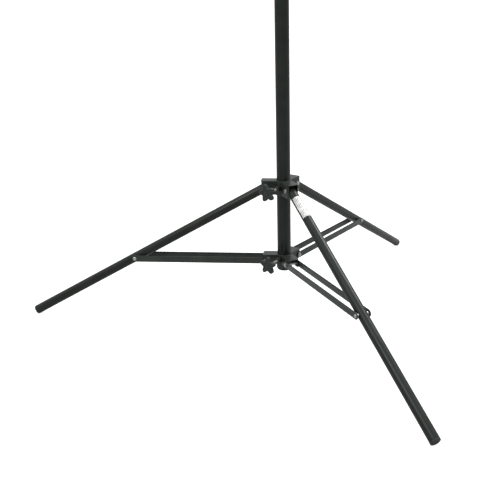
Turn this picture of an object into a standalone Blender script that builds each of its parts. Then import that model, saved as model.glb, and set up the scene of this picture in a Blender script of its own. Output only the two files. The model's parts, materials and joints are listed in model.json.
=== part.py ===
"""A wind-up lighting stand: three folding tube legs on two sliding collars, a telescopic mast and a winch.

Metres, +Z up. The feet stand on z = 0 and the origin is the middle of the footprint's box.
Every piece hangs from an empty that stands where the piece turns or slides.
"""

import math

import bmesh
import bpy
from mathutils import Vector

# ---------------------------------------------------------------- driving sizes

# Clearances.
FIT = 0.0003                 # between pieces that touch or are fastened together
RUN = 0.0004                 # on the radius of a tube that slides in a collar
HOLE = 0.0003                # on the radius of a bolt in its hole

# The mast's three tubes.
OUTER_OD = 0.050
OUTER_WALL = 0.0015
MIDDLE_GAP = 0.0035          # between the outer and middle tubes, where the rope runs
MIDDLE_WALL = 0.0015
INNER_GAP = 0.0010           # between the middle and inner tubes
INNER_WALL = 0.0020
INNER_FOOT_RISE = 0.016      # inner tube's end above the middle tube's
OUTER_LENGTH = 1.355
MIDDLE_LENGTH = 1.420
INNER_LENGTH = 1.453
MAST_BELOW_BRACES = 0.0357    # from the braces' pivots down to the outer tube's end

# The legs.
LEG_OD = 0.034
LEG_WALL = 0.0015
LEG_TUBE = 1.0215            # pivot to the tube's outer end
LEG_STUB = 0.014             # tube left behind the pivot
LEG_SLOPE = 29.3             # degrees below level when the stand is open
LEG_PIVOT_OUT = 0.035        # leg pivot beyond the mast's surface
FOOT_RIM = 0.007             # what the foot plug adds to the leg
FOOT_DOME = 0.0022
FOOT_FLAT = 0.0030           # depth of the flat worn at the plug's lowest corner
PLUG_WALL = 0.0025
PLUG_DEPTH = 0.022
LEG_AZIMUTHS = {"left": 180.0, "rear": 60.0, "front": 300.0}

# The braces, level when the stand is open.
BRACE_LENGTH = 0.492         # between pivots
BRACE_PIVOT_OUT = 0.039      # brace pivot beyond the mast's surface
BRACE_HEIGHT = 0.024
BRACE_THICK = 0.0025
BRACE_STANDOFF = 0.00575     # between a leg's side and a bar
BUSH_OD = 0.014

# The collars, each a sleeve with three channels; heights are from the pivots.
SLEEVE_WALL = 0.0032
CHANNEL_WALL = 0.0030
CHANNEL_WEB = 0.0044         # solid metal between the sleeve and a channel's hollow
SLEEVE_RISE = 0.0008         # sleeve above the channels' tops
UPPER_REACH = 0.022          # channel beyond the pivot
LEG_TOP_GAP = 0.0005         # over the leg's stub as it swings
UPPER_CHEEK_DROP = 0.026
UPPER_SLEEVE_DROP = 0.030
LEG_SIDE_GAP = 0.0008
LOWER_REACH = 0.015
LOWER_TOP = 0.022
LOWER_CHEEK_DROP = 0.014
LOWER_SLEEVE_DROP = 0.032
BRACE_SIDE_GAP = 0.0007

# Fasteners.
PIVOT_BOLT = 0.008
BOLT_HEAD_FLATS = 0.013
BOLT_HEAD = 0.0053
STUD_HEAD_OD = 0.014
STUD_HEAD = 0.0035

# Clamp knobs.
KNOB_AZIMUTH = 240.0
STAR_R = 0.0325
STAR_VALLEY = 0.0195
STAR_THICK = 0.015
STAR_LOBES = 5
SCREW_OD = 0.008
BOSS_OD = 0.022
BOSS_OUT = 0.023             # boss and knob face beyond the mast's surface
KNOB_FACE_OUT = 0.087
KNOB_HUB_R = 0.011
KNOB_HUB = 0.010
KNOB_EDGE = 0.0022
SCREW_CHAMFER = 0.0006
UPPER_KNOB_RISE = 0.0
LOWER_KNOB_RISE = 0.006
SMALL_STAR = 0.72            # a mast knob's size beside a collar knob's
SMALL_BOSS_OUT = 0.008       # boss and knob face beyond the mast fitting's surface
SMALL_KNOB_OUT = 0.045

# Mast fittings.
END_PLUG_RIM = 0.003
END_PLUG_DEPTH = 0.015
END_PLUG_CHAMFER = 0.001
HEAD_SLEEVE = 0.045
HEAD_WALL = 0.0047
HEAD_RING = 0.015
GLIDE_HEIGHT = 0.034
GLIDE_LIP = 0.0095
MIDDLE_COLLAR_WALL = 0.0057
MIDDLE_COLLAR_HEIGHT = 0.040
MIDDLE_COLLAR_LIP = 0.010
SOCKET_BORE = 0.029
SOCKET_DEPTH = 0.038
RECEIVER_WALL = 0.0037       # round the inner tube
RECEIVER_SKIRT = 0.030
RECEIVER_WEB = 0.007

# Rope, pulley and winch.
ROPE_OD = 0.0024
PULLEY_ROPE_R = 0.01225
PULLEY_HALF_WIDTH = 0.0030
PULLEY_LIP = 0.0007
PULLEY_PIN = 0.006
PULLEY_RISE = 0.037          # pulley's axis above the outer tube's end
PULLEY_CHEEK = 0.0035
DRUM_R = 0.014
DRUM_FLANGE_R = 0.027
DRUM_OVERHANG = 0.005        # drum beyond the mast's side
DRUM_FLANGE = 0.003
DRUM_BELOW_TOP = 0.085       # drum's axis below the outer tube's end
ROPE_TURNS = 4
WINCH_PLATE = 0.003
WINCH_BACK = 0.004
RATCHET_SIDE_GAP = 0.0017
WINCH_FRONT = 0.038          # side plates beyond the drum's axis
SHAFT_OD = 0.012
SHAFT_FLANGE_OD = 0.018
SHAFT_FLANGE = 0.004
RATCHET_TIP_R = 0.024
RATCHET_ROOT_R = 0.020
RATCHET_TEETH = 16
RATCHET_THICK = 0.004
PAWL_FORWARD = 0.020         # pawl's pivot forward of the drum's axis
PAWL_ABOVE = 0.003           # and above the ratchet's teeth
PAWL_REACH = 0.019
PAWL_EYE_R = 0.0055
PAWL_TIP_R = 0.0012
PAWL_PIN = 0.005
PAWL_PIN_HEAD = 0.0028
U_BOLT_ROD = 0.006
U_BOLT_SPREAD = 0.035        # each U bolt above or below the drum's axis
U_BOLT_TAIL = 0.003          # rod beyond the nut
CRANK_RADIUS = 0.125
CRANK_WIDTH = 0.020
CRANK_THICK = 0.005
CRANK_CLEARANCE = 0.018      # between the winch's side and the arm
GRIP_LENGTH = 0.085
GRIP_R = 0.013
GRIP_EDGE = 0.004
GRIP_BAND = 0.014
GRIP_BOLT = 0.008
GRIP_BOLT_HEAD = 0.003

# Facets.
TUBE_STEPS = 24
LEG_STEPS = 20
SMALL_STEPS = 12

# ---------------------------------------------------------------- worked-out sizes

OUTER_R = OUTER_OD / 2
MIDDLE_R = OUTER_R - OUTER_WALL - MIDDLE_GAP
INNER_R = MIDDLE_R - MIDDLE_WALL - INNER_GAP
LEG_R = LEG_OD / 2
LEG_TILT = math.radians(LEG_SLOPE)
LEG_PIVOT_R = OUTER_R + LEG_PIVOT_OUT
BRACE_PIVOT_R = OUTER_R + BRACE_PIVOT_OUT
BRACE_OFFSET = LEG_R + BRACE_STANDOFF + BRACE_THICK / 2
LEG_TO_BRACE = (BRACE_PIVOT_R + BRACE_LENGTH - LEG_PIVOT_R) / math.cos(LEG_TILT)
LEG_TOTAL = LEG_TUBE + FOOT_RIM
LEG_PIVOT_Z = LEG_TOTAL * math.sin(LEG_TILT) + LEG_R * math.cos(LEG_TILT) - FOOT_FLAT
BRACE_PIVOT_Z = LEG_PIVOT_Z - LEG_TO_BRACE * math.sin(LEG_TILT)
MAST_FOOT_Z = BRACE_PIVOT_Z - MAST_BELOW_BRACES
MAST_TOP_Z = MAST_FOOT_Z + OUTER_LENGTH
MIDDLE_FOOT_Z = MAST_FOOT_Z + END_PLUG_DEPTH + 2 * END_PLUG_RIM + GLIDE_LIP
MIDDLE_TOP_Z = MIDDLE_FOOT_Z + MIDDLE_LENGTH
INNER_FOOT_Z = MIDDLE_FOOT_Z + INNER_FOOT_RISE
INNER_TOP_Z = INNER_FOOT_Z + INNER_LENGTH
SLEEVE_R = OUTER_R + RUN + SLEEVE_WALL
CHANNEL_BACK_R = SLEEVE_R + CHANNEL_WEB
UPPER_TOP = math.hypot(LEG_STUB, LEG_R) + LEG_TOP_GAP + CHANNEL_WALL
BOSS_R = OUTER_R + BOSS_OUT
KNOB_FACE_R = OUTER_R + KNOB_FACE_OUT
RECEIVER_R = INNER_R + FIT + RECEIVER_WALL
ROPE_R = ROPE_OD / 2
ROPE_INSIDE_X = (OUTER_R - OUTER_WALL + MIDDLE_R) / 2
PULLEY_X = ROPE_INSIDE_X + PULLEY_ROPE_R
PULLEY_Z = MAST_TOP_Z + PULLEY_RISE
ROPE_OUTSIDE_X = PULLEY_X + PULLEY_ROPE_R
DRUM_ROPE_R = DRUM_R + FIT + ROPE_R
DRUM_X = ROPE_OUTSIDE_X + DRUM_ROPE_R
DRUM_Z = MAST_TOP_Z - DRUM_BELOW_TOP
WINCH_HALF_HEIGHT = DRUM_BELOW_TOP - HEAD_SLEEVE - FIT
DRUM_HALF_WIDTH = OUTER_R + DRUM_OVERHANG
WINCH_HALF_WIDTH = DRUM_HALF_WIDTH + FIT + RATCHET_THICK + RATCHET_SIDE_GAP + WINCH_PLATE
CRANK_OUT = WINCH_HALF_WIDTH + CRANK_CLEARANCE
PAWL_PIVOT = (PAWL_FORWARD, RATCHET_TIP_R + PAWL_ABOVE)


# ---------------------------------------------------------------- helpers

def clear_scene():
    for obj in list(bpy.data.objects):
        bpy.data.objects.remove(obj, do_unlink=True)


def collection(name, shown):
    group = bpy.data.collections.new(name)
    group.hide_render = not shown
    bpy.context.scene.collection.children.link(group)
    return group


def material(name, colour, roughness, metallic):
    made = bpy.data.materials.new(name)
    made.use_nodes = True
    shader = made.node_tree.nodes["Principled BSDF"]
    shader.inputs["Base Color"].default_value = (*colour, 1.0)
    shader.inputs["Roughness"].default_value = roughness
    shader.inputs["Metallic"].default_value = metallic
    return made


def frame(name, parent=None, at=(0, 0, 0), turn=(0, 0, 0)):
    """An empty that pieces hang from; turn is in degrees."""
    empty = bpy.data.objects.new(name, None)
    empty.empty_display_size = 0.05
    empty.parent = parent
    empty.location = at
    empty.rotation_euler = [math.radians(angle) for angle in turn]
    PARTS.objects.link(empty)
    return empty


def polar(radius, azimuth, height):
    angle = math.radians(azimuth)
    return (radius * math.cos(angle), radius * math.sin(angle), height)


def place(mesh, name, parent, look=None, at=(0, 0, 0), turn=(0, 0, 0)):
    """Puts a mesh in the scene as a part, or as a cutter when it has no look."""
    obj = bpy.data.objects.new(name, mesh)
    obj.parent = parent
    obj.location = at
    obj.rotation_euler = [math.radians(angle) for angle in turn]
    if look:
        PARTS.objects.link(obj)
        mesh.materials.append(look)
        mesh.shade_smooth()
        mesh.set_sharp_from_angle(angle=math.radians(35))
    else:
        CUTTERS.objects.link(obj)
        obj.hide_render = True
        obj.display_type = "WIRE"
    return obj


def profile_mesh(name, points, closed):
    mesh = bpy.data.meshes.new(name)
    count = len(points)
    edges = [(i, i + 1) for i in range(count - 1)]
    if closed:
        edges.append((count - 1, 0))
    mesh.from_pydata([(radius, 0, height) for radius, height in points], edges, [])
    return mesh


def turned(name, points, parent, look=None, closed=False, steps=SMALL_STEPS, at=(0, 0, 0), turn=(0, 0, 0)):
    """A profile of (radius, height) points turned about the frame's Z, its outer side running downwards."""
    obj = place(profile_mesh(name, points, closed), name, parent, look, at, turn)
    screw = obj.modifiers.new("Turn", "SCREW")
    screw.axis = "Z"
    screw.steps = steps
    screw.render_steps = steps
    screw.use_merge_vertices = True
    screw.merge_threshold = 0.00001
    screw.use_smooth_shade = True
    return obj


def ring(name, outer, inner, low, high, parent, look=None, steps=TUBE_STEPS):
    """A plain tube about the frame's Z."""
    points = [(outer, high), (outer, low), (inner, low), (inner, high)]
    return turned(name, points, parent, look, closed=True, steps=steps)


def rod(name, radius, low, high, parent, look=None, steps=SMALL_STEPS, at=(0, 0, 0), turn=(0, 0, 0)):
    points = [(0, high), (radius, high), (radius, low), (0, low)]
    return turned(name, points, parent, look, steps=steps, at=at, turn=turn)


def block(name, low, high, parent, look=None):
    """A box between two corners of its frame."""
    low, high = Vector(low), Vector(high)
    cube = bmesh.new()
    bmesh.ops.create_cube(cube, size=1.0)
    size = high - low
    bmesh.ops.scale(cube, vec=size, verts=cube.verts)
    bmesh.ops.translate(cube, vec=(low + high) / 2, verts=cube.verts)
    mesh = bpy.data.meshes.new(name)
    cube.to_mesh(mesh)
    cube.free()
    return place(mesh, name, parent, look)


def boolean(obj, other, operation, solver):
    step = obj.modifiers.new(f"{operation.title()} {other.name}", "BOOLEAN")
    step.operation = operation
    step.solver = solver
    step.object = other
    return obj


def cut(obj, *others, solver="EXACT"):
    for other in others:
        boolean(obj, other, "DIFFERENCE", solver)
    return obj


def join(obj, *others, solver="EXACT"):
    for other in others:
        boolean(obj, other, "UNION", solver)
    return obj


def mesh_of_curve(curve, name):
    """The closed mesh of a curve object, which is then removed."""
    source = bpy.data.objects.new(name, curve)
    bpy.context.scene.collection.objects.link(source)
    bpy.context.view_layer.update()
    graph = bpy.context.evaluated_depsgraph_get()
    mesh = bpy.data.meshes.new_from_object(source.evaluated_get(graph))
    bpy.data.objects.remove(source, do_unlink=True)
    bpy.data.curves.remove(curve)
    weld = bmesh.new()
    weld.from_mesh(mesh)
    bmesh.ops.remove_doubles(weld, verts=weld.verts, dist=0.000001)
    bmesh.ops.recalc_face_normals(weld, faces=weld.faces)
    weld.to_mesh(mesh)
    weld.free()
    mesh.name = name
    mesh.materials.clear()
    return mesh


def add_loop(curve, points, closed=True):
    spline = curve.splines.new("POLY")
    spline.points.add(len(points) - 1)
    for spot, point in zip(spline.points, points):
        spot.co = (*point, 0, 1) if len(point) == 2 else (*point, 1)
    spline.use_cyclic_u = closed


def plate_mesh(name, loops, thickness):
    """A flat plate about z = 0; the first loop is its outline and the others are holes."""
    curve = bpy.data.curves.new(name, "CURVE")
    curve.dimensions = "2D"
    curve.fill_mode = "BOTH"
    curve.extrude = thickness / 2
    for loop in loops:
        add_loop(curve, loop)
    return mesh_of_curve(curve, name)


def wire_mesh(name, points, radius, resolution=2):
    curve = bpy.data.curves.new(name, "CURVE")
    curve.dimensions = "3D"
    curve.bevel_depth = radius
    curve.bevel_resolution = resolution
    curve.use_fill_caps = True
    add_loop(curve, points, closed=False)
    return mesh_of_curve(curve, name)


def arc(centre, radius, start, end, count):
    """Points on an arc, its angles in degrees, both ends included."""
    found = []
    for index in range(count):
        angle = math.radians(start + (end - start) * index / (count - 1))
        found.append((centre[0] + radius * math.cos(angle), centre[1] + radius * math.sin(angle)))
    return found


def circle(centre, radius, count=SMALL_STEPS):
    return arc(centre, radius, 0, 360 * (count - 1) / count, count)


def slot(start, end, start_r, end_r, count=9):
    """The outline round two circles of their own radii, as a belt lies round two wheels."""
    run = math.dist(start, end)
    heading = math.degrees(math.atan2(end[1] - start[1], end[0] - start[0]))
    lean = math.degrees(math.asin((start_r - end_r) / run))
    back = arc(start, start_r, heading + 90 - lean, heading + 270 + lean, count)
    front = arc(end, end_r, heading - 90 + lean, heading + 90 - lean, count)
    return back + front


def hexagon(flats):
    return circle((0, 0), flats / math.sqrt(3), 6)


# ---------------------------------------------------------------- the collars

def collar(name, pivot_z, top, cheek_drop, sleeve_drop, reach_r, inner_half, pivot_r, knob_rise):
    """A sleeve on the mast with three channels for what is hinged to it and a boss for its clamp screw."""
    home = frame(f"{name}_frame", BASE, (0, 0, pivot_z))
    outer_half = inner_half + CHANNEL_WALL
    body = rod(name, SLEEVE_R, -sleeve_drop, top + SLEEVE_RISE, home, PAINT, TUBE_STEPS)
    arms = []
    pockets = []
    for side, azimuth in LEG_AZIMUTHS.items():
        turned_home = frame(f"{name}_{side}_frame", home, turn=(0, 0, azimuth))
        low = (0, -outer_half, -cheek_drop)
        arms.append(block(f"{name}_{side}_arm", low, (reach_r, outer_half, top), turned_home))
        low = (CHANNEL_BACK_R, -inner_half, -2 * sleeve_drop)
        high = (2 * reach_r, inner_half, top - CHANNEL_WALL)
        pockets.append(block(f"{name}_{side}_pocket", low, high, turned_home))
        half = outer_half + CHANNEL_WALL
        spot = (pivot_r, 0, 0)
        hole_r = PIVOT_BOLT / 2 + HOLE
        hole = rod(f"{name}_{side}_hole", hole_r, -half, half, turned_home, at=spot, turn=(90, 0, 0))
        pockets.append(hole)
    spot = (0, 0, knob_rise)
    out = (0, 90, KNOB_AZIMUTH)
    boss = rod(f"{name}_boss", BOSS_OD / 2, OUTER_R, BOSS_R, home, at=spot, turn=out)
    thread = rod(f"{name}_thread", SCREW_OD / 2 + HOLE, 0, 2 * BOSS_R, home, at=spot, turn=out)
    # Many closed solids meet on shared planes here, which leaves slivers under the exact solver.
    join(body, *arms, boss, solver="MANIFOLD")
    bore = rod(f"{name}_bore", OUTER_R + RUN, -2 * sleeve_drop, 2 * top, home, steps=TUBE_STEPS)
    return cut(body, bore, *pockets, thread, solver="MANIFOLD")


def star_outline(tip, valley, lobes):
    """A smooth star whose radius swings between tip and valley, its lobes fuller than its hollows."""
    count = 10 * lobes
    points = []
    for index in range(count):
        angle = 2 * math.pi * index / count
        swing = (1 + math.cos(lobes * angle)) / 2
        radius = valley + (tip - valley) * swing ** 0.9
        points.append((radius * math.cos(angle), radius * math.sin(angle)))
    return points


def knob(name, parent, height, tip_r, face_r, size, screw_od):
    """A star knob on its screw, pointing out from the mast; the screw's end stops at radius tip_r."""
    home = frame(f"{name}_frame", parent, (0, 0, height), (0, 90, KNOB_AZIMUTH))
    thick = STAR_THICK * size
    hub_r = KNOB_HUB_R * size
    middle = face_r - thick / 2
    loops = [star_outline(STAR_R * size, STAR_VALLEY * size, STAR_LOBES)]
    star = place(plate_mesh(name, loops, thick), name, home, PLASTIC, (0, 0, middle), (0, 0, 180))
    edge = star.modifiers.new("Soften", "BEVEL")
    edge.width = KNOB_EDGE * size
    edge.segments = 1
    edge.limit_method = "ANGLE"
    edge.angle_limit = math.radians(60)
    low = face_r - thick - KNOB_HUB * size
    stem = [
        (0, middle),
        (hub_r, middle),
        (hub_r, low),
        (screw_od / 2, low),
        (screw_od / 2, tip_r + SCREW_CHAMFER),
        (screw_od / 2 - SCREW_CHAMFER, tip_r),
        (0, tip_r),
    ]
    return join(star, turned(f"{name}_stem", stem, home))


# ---------------------------------------------------------------- the legs

def bolt(name, parent, half_grip, diameter, at):
    """A hex bolt through a joint with its nut run up, along the frame's Y."""
    body = rod(name, diameter / 2, -half_grip - BOLT_HEAD / 2, half_grip + BOLT_HEAD / 2, parent, ZINC,
               at=at, turn=(90, 0, 0))
    for side in (-1, 1):
        middle = half_grip + FIT + BOLT_HEAD / 2
        spot = (at[0], at[1] + side * middle, at[2])
        mesh = plate_mesh(f"{name}_head", [hexagon(BOLT_HEAD_FLATS)], BOLT_HEAD)
        join(body, place(mesh, f"{name}_head", parent, at=spot, turn=(90, 0, 0)))
    return body


def leg(side, azimuth):
    spot = polar(LEG_PIVOT_R, azimuth, LEG_PIVOT_Z)
    hinge = frame(f"leg_{side}_hinge", BASE, spot, (0, 90 + math.degrees(LEG_TILT), azimuth))
    tube = ring(f"leg_{side}", LEG_R, LEG_R - LEG_WALL, -LEG_STUB, LEG_TUBE, hinge, PAINT, LEG_STEPS)
    through = 2 * LEG_R
    for label, place_z, radius in (
        ("pivot", 0, PIVOT_BOLT / 2 + HOLE),
        ("bush", LEG_TO_BRACE, BUSH_OD / 2 + HOLE),
    ):
        hole = rod(f"leg_{side}_{label}_hole", radius, -through, through, hinge, at=(0, 0, place_z),
                   turn=(90, 0, 0))
        cut(tube, hole)
    half = BRACE_OFFSET - BRACE_THICK / 2 - FIT
    bore = PIVOT_BOLT / 2 + HOLE
    bush = ring(f"brace_bush_{side}", BUSH_OD / 2, bore, -half, half, hinge, ZINC, SMALL_STEPS)
    bush.location = (0, 0, LEG_TO_BRACE)
    bush.rotation_euler = (math.radians(90), 0, 0)
    foot(side, hinge)
    home = frame(f"leg_{side}_bolt_frame", BASE, spot, (0, 0, azimuth))
    cheek = LEG_R + LEG_SIDE_GAP + CHANNEL_WALL
    bolt(f"leg_bolt_{side}", home, cheek, PIVOT_BOLT, (0, 0, 0))


def foot(side, hinge):
    """A plug in the leg's end, with a slightly domed rim and a flat where it meets the floor."""
    rim = LEG_R
    start = LEG_TUBE + FIT
    end = LEG_TUBE + FOOT_RIM
    spigot = LEG_R - LEG_WALL - FIT
    inside = spigot - PLUG_WALL
    points = [
        (0, end),
        (rim * 0.55, end - FOOT_DOME * 0.1),
        (rim * 0.88, end - FOOT_DOME * 0.37),
        (rim, end - FOOT_DOME),
        (rim, start),
        (spigot, start),
        (spigot, start - PLUG_DEPTH),
        (inside, start - PLUG_DEPTH),
        (inside, start + PLUG_WALL),
        (0, start + PLUG_WALL),
    ]
    plug = turned(f"foot_{side}", points, hinge, RUBBER, steps=LEG_STEPS)
    size = 4 * LEG_R
    floor = block(f"foot_{side}_floor", (-size, -size, -size), (size, size, 0), BASE)
    reach = LEG_PIVOT_R + LEG_TOTAL * math.cos(LEG_TILT)
    floor.location = polar(reach, LEG_AZIMUTHS[side], 0)
    return cut(plug, floor)


def brace(side, azimuth):
    """Two flat bars, one each side of the leg, from the lower collar to the leg."""
    home = frame(f"brace_{side}_hinge", BASE, polar(BRACE_PIVOT_R, azimuth, BRACE_PIVOT_Z), (0, 0, azimuth))
    radius = BRACE_HEIGHT / 2
    hole = PIVOT_BOLT / 2 + HOLE
    ends = ((0, 0), (BRACE_LENGTH, 0))
    for label, sign in (("a", -1), ("b", 1)):
        loops = [slot(*ends, radius, radius), circle(ends[0], hole), circle(ends[1], hole)]
        mesh = plate_mesh(f"brace_{side}_{label}", loops, BRACE_THICK)
        place(mesh, f"brace_{side}_{label}", home, PAINT, (0, sign * BRACE_OFFSET, 0), (90, 0, 0))
        stud(f"brace_stud_{side}_{label}", home, sign)
    outside = BRACE_OFFSET + BRACE_THICK / 2
    bolt(f"brace_bolt_{side}", home, outside, PIVOT_BOLT, (0, 0, 0))


def stud(name, home, sign):
    """The head and shank outside one bar at the leg's pivot; the shank ends at the bar's inner face."""
    face = BRACE_THICK / 2
    head = face + FIT + STUD_HEAD
    points = [
        (0, head),
        (STUD_HEAD_OD * 0.36, head),
        (STUD_HEAD_OD / 2, head - STUD_HEAD * 0.45),
        (STUD_HEAD_OD / 2, face + FIT),
        (PIVOT_BOLT / 2, face + FIT),
        (PIVOT_BOLT / 2, -face),
        (0, -face),
    ]
    turned(name, points, home, ZINC, at=(BRACE_LENGTH, sign * BRACE_OFFSET, 0), turn=(-90 * sign, 0, 0))


# ---------------------------------------------------------------- the mast

def outer_stage():
    home = frame("mast_frame", BASE)
    tube_in = OUTER_R - OUTER_WALL
    ring("outer_mast", OUTER_R, tube_in, MAST_FOOT_Z, MAST_TOP_Z, home, PAINT)
    spigot = tube_in - FIT
    start = MAST_FOOT_Z - FIT
    low = start - END_PLUG_RIM
    high = MAST_FOOT_Z + END_PLUG_DEPTH
    inside = spigot - PLUG_WALL
    floor = start + END_PLUG_RIM
    points = [
        (0, floor),
        (inside, floor),
        (inside, high),
        (spigot, high),
        (spigot, start),
        (OUTER_R, start),
        (OUTER_R, low + END_PLUG_CHAMFER),
        (OUTER_R - END_PLUG_CHAMFER, low),
        (0, low),
    ]
    turned("mast_end_plug", points, home, RUBBER, steps=TUBE_STEPS)
    mast_head(home)
    return home


def mast_head(home):
    """The casting on top of the outer tube: it guides the middle tube and holds the rope's pulley."""
    outer = OUTER_R + FIT + HEAD_WALL
    sleeve_in = OUTER_R + FIT
    guide_in = MIDDLE_R + RUN
    top = MAST_TOP_Z + HEAD_RING
    seat = MAST_TOP_Z + FIT
    points = [
        (outer, top),
        (outer, MAST_TOP_Z - HEAD_SLEEVE),
        (sleeve_in, MAST_TOP_Z - HEAD_SLEEVE),
        (sleeve_in, seat),
        (guide_in, seat),
        (guide_in, top),
    ]
    body = turned("mast_head", points, home, CAST, closed=True, steps=TUBE_STEPS)
    cheek_in = PULLEY_HALF_WIDTH + 2 * FIT
    cheek_out = cheek_in + PULLEY_CHEEK
    eye_r = PULLEY_ROPE_R
    for sign in (-1, 1):
        centre = (PULLEY_X, PULLEY_Z)
        outline = arc(centre, eye_r, 0, 180, 9)
        outline += [(PULLEY_X - eye_r, seat + FIT), (PULLEY_X + eye_r, seat + FIT)]
        mesh = plate_mesh("mast_head_cheek", [outline], PULLEY_CHEEK)
        middle = sign * (cheek_in + cheek_out) / 2
        join(body, place(mesh, "mast_head_cheek", home, at=(0, middle, 0), turn=(90, 0, 0)))
    low = (MIDDLE_R, -cheek_in, seat - HEAD_RING / 3)
    notch = block("mast_head_notch", low, (2 * PULLEY_X, cheek_in, 2 * top), home)
    clear = rod("mast_head_bore", guide_in, seat, 2 * top, home, steps=TUBE_STEPS)
    pin_hole = rod("mast_head_pin_hole", PULLEY_PIN / 2 + HOLE, -2 * cheek_out, 2 * cheek_out, home,
                   at=(PULLEY_X, 0, PULLEY_Z), turn=(90, 0, 0))
    cut(body, notch, clear, pin_hole)
    lip = PULLEY_ROPE_R + PULLEY_LIP
    floor = PULLEY_ROPE_R - ROPE_R - FIT
    half = PULLEY_HALF_WIDTH
    groove = ROPE_R + FIT
    points = [
        (lip, half),
        (lip, groove),
        (floor, groove),
        (floor, -groove),
        (lip, -groove),
        (lip, -half),
        (PULLEY_PIN / 2 + HOLE, -half),
        (PULLEY_PIN / 2 + HOLE, half),
    ]
    hub = frame("rope_pulley_frame", home, (PULLEY_X, 0, PULLEY_Z), (-90, 0, 0))
    turned("rope_pulley", points, hub, CAST, closed=True, steps=TUBE_STEPS)
    end = cheek_out + PULLEY_PIN / 3
    pin = [
        (0, end),
        (PULLEY_PIN * 0.8, end),
        (PULLEY_PIN * 0.8, cheek_out + FIT),
        (PULLEY_PIN / 2, cheek_out + FIT),
        (PULLEY_PIN / 2, -end),
        (0, -end),
    ]
    turned("pulley_pin", pin, hub, ZINC)


def middle_stage(mast):
    home = frame("middle_mast_frame", mast)
    tube = ring("middle_mast", MIDDLE_R, MIDDLE_R - MIDDLE_WALL, MIDDLE_FOOT_Z, MIDDLE_TOP_Z, home, PAINT)
    outer = OUTER_R - OUTER_WALL - RUN
    glide_low = MIDDLE_FOOT_Z - FIT - GLIDE_LIP
    points = [
        (outer, glide_low + GLIDE_HEIGHT),
        (outer, glide_low),
        (MIDDLE_R - 2 * MIDDLE_WALL, glide_low),
        (MIDDLE_R - 2 * MIDDLE_WALL, MIDDLE_FOOT_Z - FIT),
        (MIDDLE_R + FIT, MIDDLE_FOOT_Z - FIT),
        (MIDDLE_R + FIT, glide_low + GLIDE_HEIGHT),
    ]
    turned("middle_glide", points, home, NYLON, closed=True, steps=TUBE_STEPS)
    top = MIDDLE_TOP_Z + MIDDLE_COLLAR_LIP
    low = top - MIDDLE_COLLAR_HEIGHT
    outer = MIDDLE_R + FIT + MIDDLE_COLLAR_WALL
    points = [
        (outer, top),
        (outer, low),
        (MIDDLE_R + FIT, low),
        (MIDDLE_R + FIT, MIDDLE_TOP_Z + FIT),
        (INNER_R + RUN, MIDDLE_TOP_Z + FIT),
        (INNER_R + RUN, top),
    ]
    body = turned("middle_collar", points, home, CAST, closed=True, steps=TUBE_STEPS)
    height = low + MIDDLE_COLLAR_HEIGHT * 0.45
    screw = SCREW_OD * SMALL_STAR
    spot = (0, 0, height)
    out = (0, 90, KNOB_AZIMUTH)
    inside = outer - MIDDLE_COLLAR_WALL / 2
    boss_r = BOSS_OD * SMALL_STAR / 2
    boss = rod("middle_collar_boss", boss_r, inside, outer + SMALL_BOSS_OUT, home, at=spot, turn=out)
    thread = rod("middle_collar_thread", screw / 2 + HOLE, INNER_R, 3 * outer, home, at=spot, turn=out)
    cut(join(body, boss), thread)
    cut(tube, thread)
    knob("middle_collar_knob", home, height, INNER_R + FIT, outer + SMALL_KNOB_OUT, SMALL_STAR, screw)
    return home


def inner_stage(middle):
    home = frame("inner_mast_frame", middle)
    tube_in = INNER_R - INNER_WALL
    ring("inner_mast", INNER_R, tube_in, INNER_FOOT_Z, INNER_TOP_Z, home, PAINT)
    rim = MIDDLE_R - MIDDLE_WALL - RUN
    start = INNER_FOOT_Z - FIT
    spigot = tube_in - FIT
    bore = spigot - PLUG_WALL
    points = [
        (rim, start),
        (rim, start - 2 * END_PLUG_RIM),
        (bore, start - 2 * END_PLUG_RIM),
        (bore, start + END_PLUG_DEPTH),
        (spigot, start + END_PLUG_DEPTH),
        (spigot, start),
    ]
    turned("inner_glide", points, home, NYLON, closed=True, steps=TUBE_STEPS)
    receiver(home)


def receiver(home):
    """The top fitting: a skirt over the inner tube and a socket above it for a lamp's spigot."""
    outer = RECEIVER_R
    low = INNER_TOP_Z - RECEIVER_SKIRT
    web = INNER_TOP_Z + FIT
    socket = web + RECEIVER_WEB
    top = socket + SOCKET_DEPTH
    points = [
        (0, socket),
        (SOCKET_BORE / 2, socket),
        (SOCKET_BORE / 2, top),
        (outer, top),
        (outer, low),
        (INNER_R + FIT, low),
        (INNER_R + FIT, web),
        (0, web),
    ]
    body = turned("receiver_head", points, home, CAST, steps=TUBE_STEPS)
    height = socket + SOCKET_DEPTH * 0.6
    screw = SCREW_OD * SMALL_STAR
    spot = (0, 0, height)
    out = (0, 90, KNOB_AZIMUTH)
    inside = (SOCKET_BORE / 2 + outer) / 2
    boss_r = BOSS_OD * SMALL_STAR / 2
    boss = rod("receiver_boss", boss_r, inside, outer + SMALL_BOSS_OUT, home, at=spot, turn=out)
    thread = rod("receiver_thread", screw / 2 + HOLE, 0, 3 * outer, home, at=spot, turn=out)
    cut(join(body, boss), thread)
    knob("receiver_knob", home, height, SOCKET_BORE / 2 + FIT, outer + SMALL_KNOB_OUT, SMALL_STAR, screw)


# ---------------------------------------------------------------- rope and winch

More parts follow.
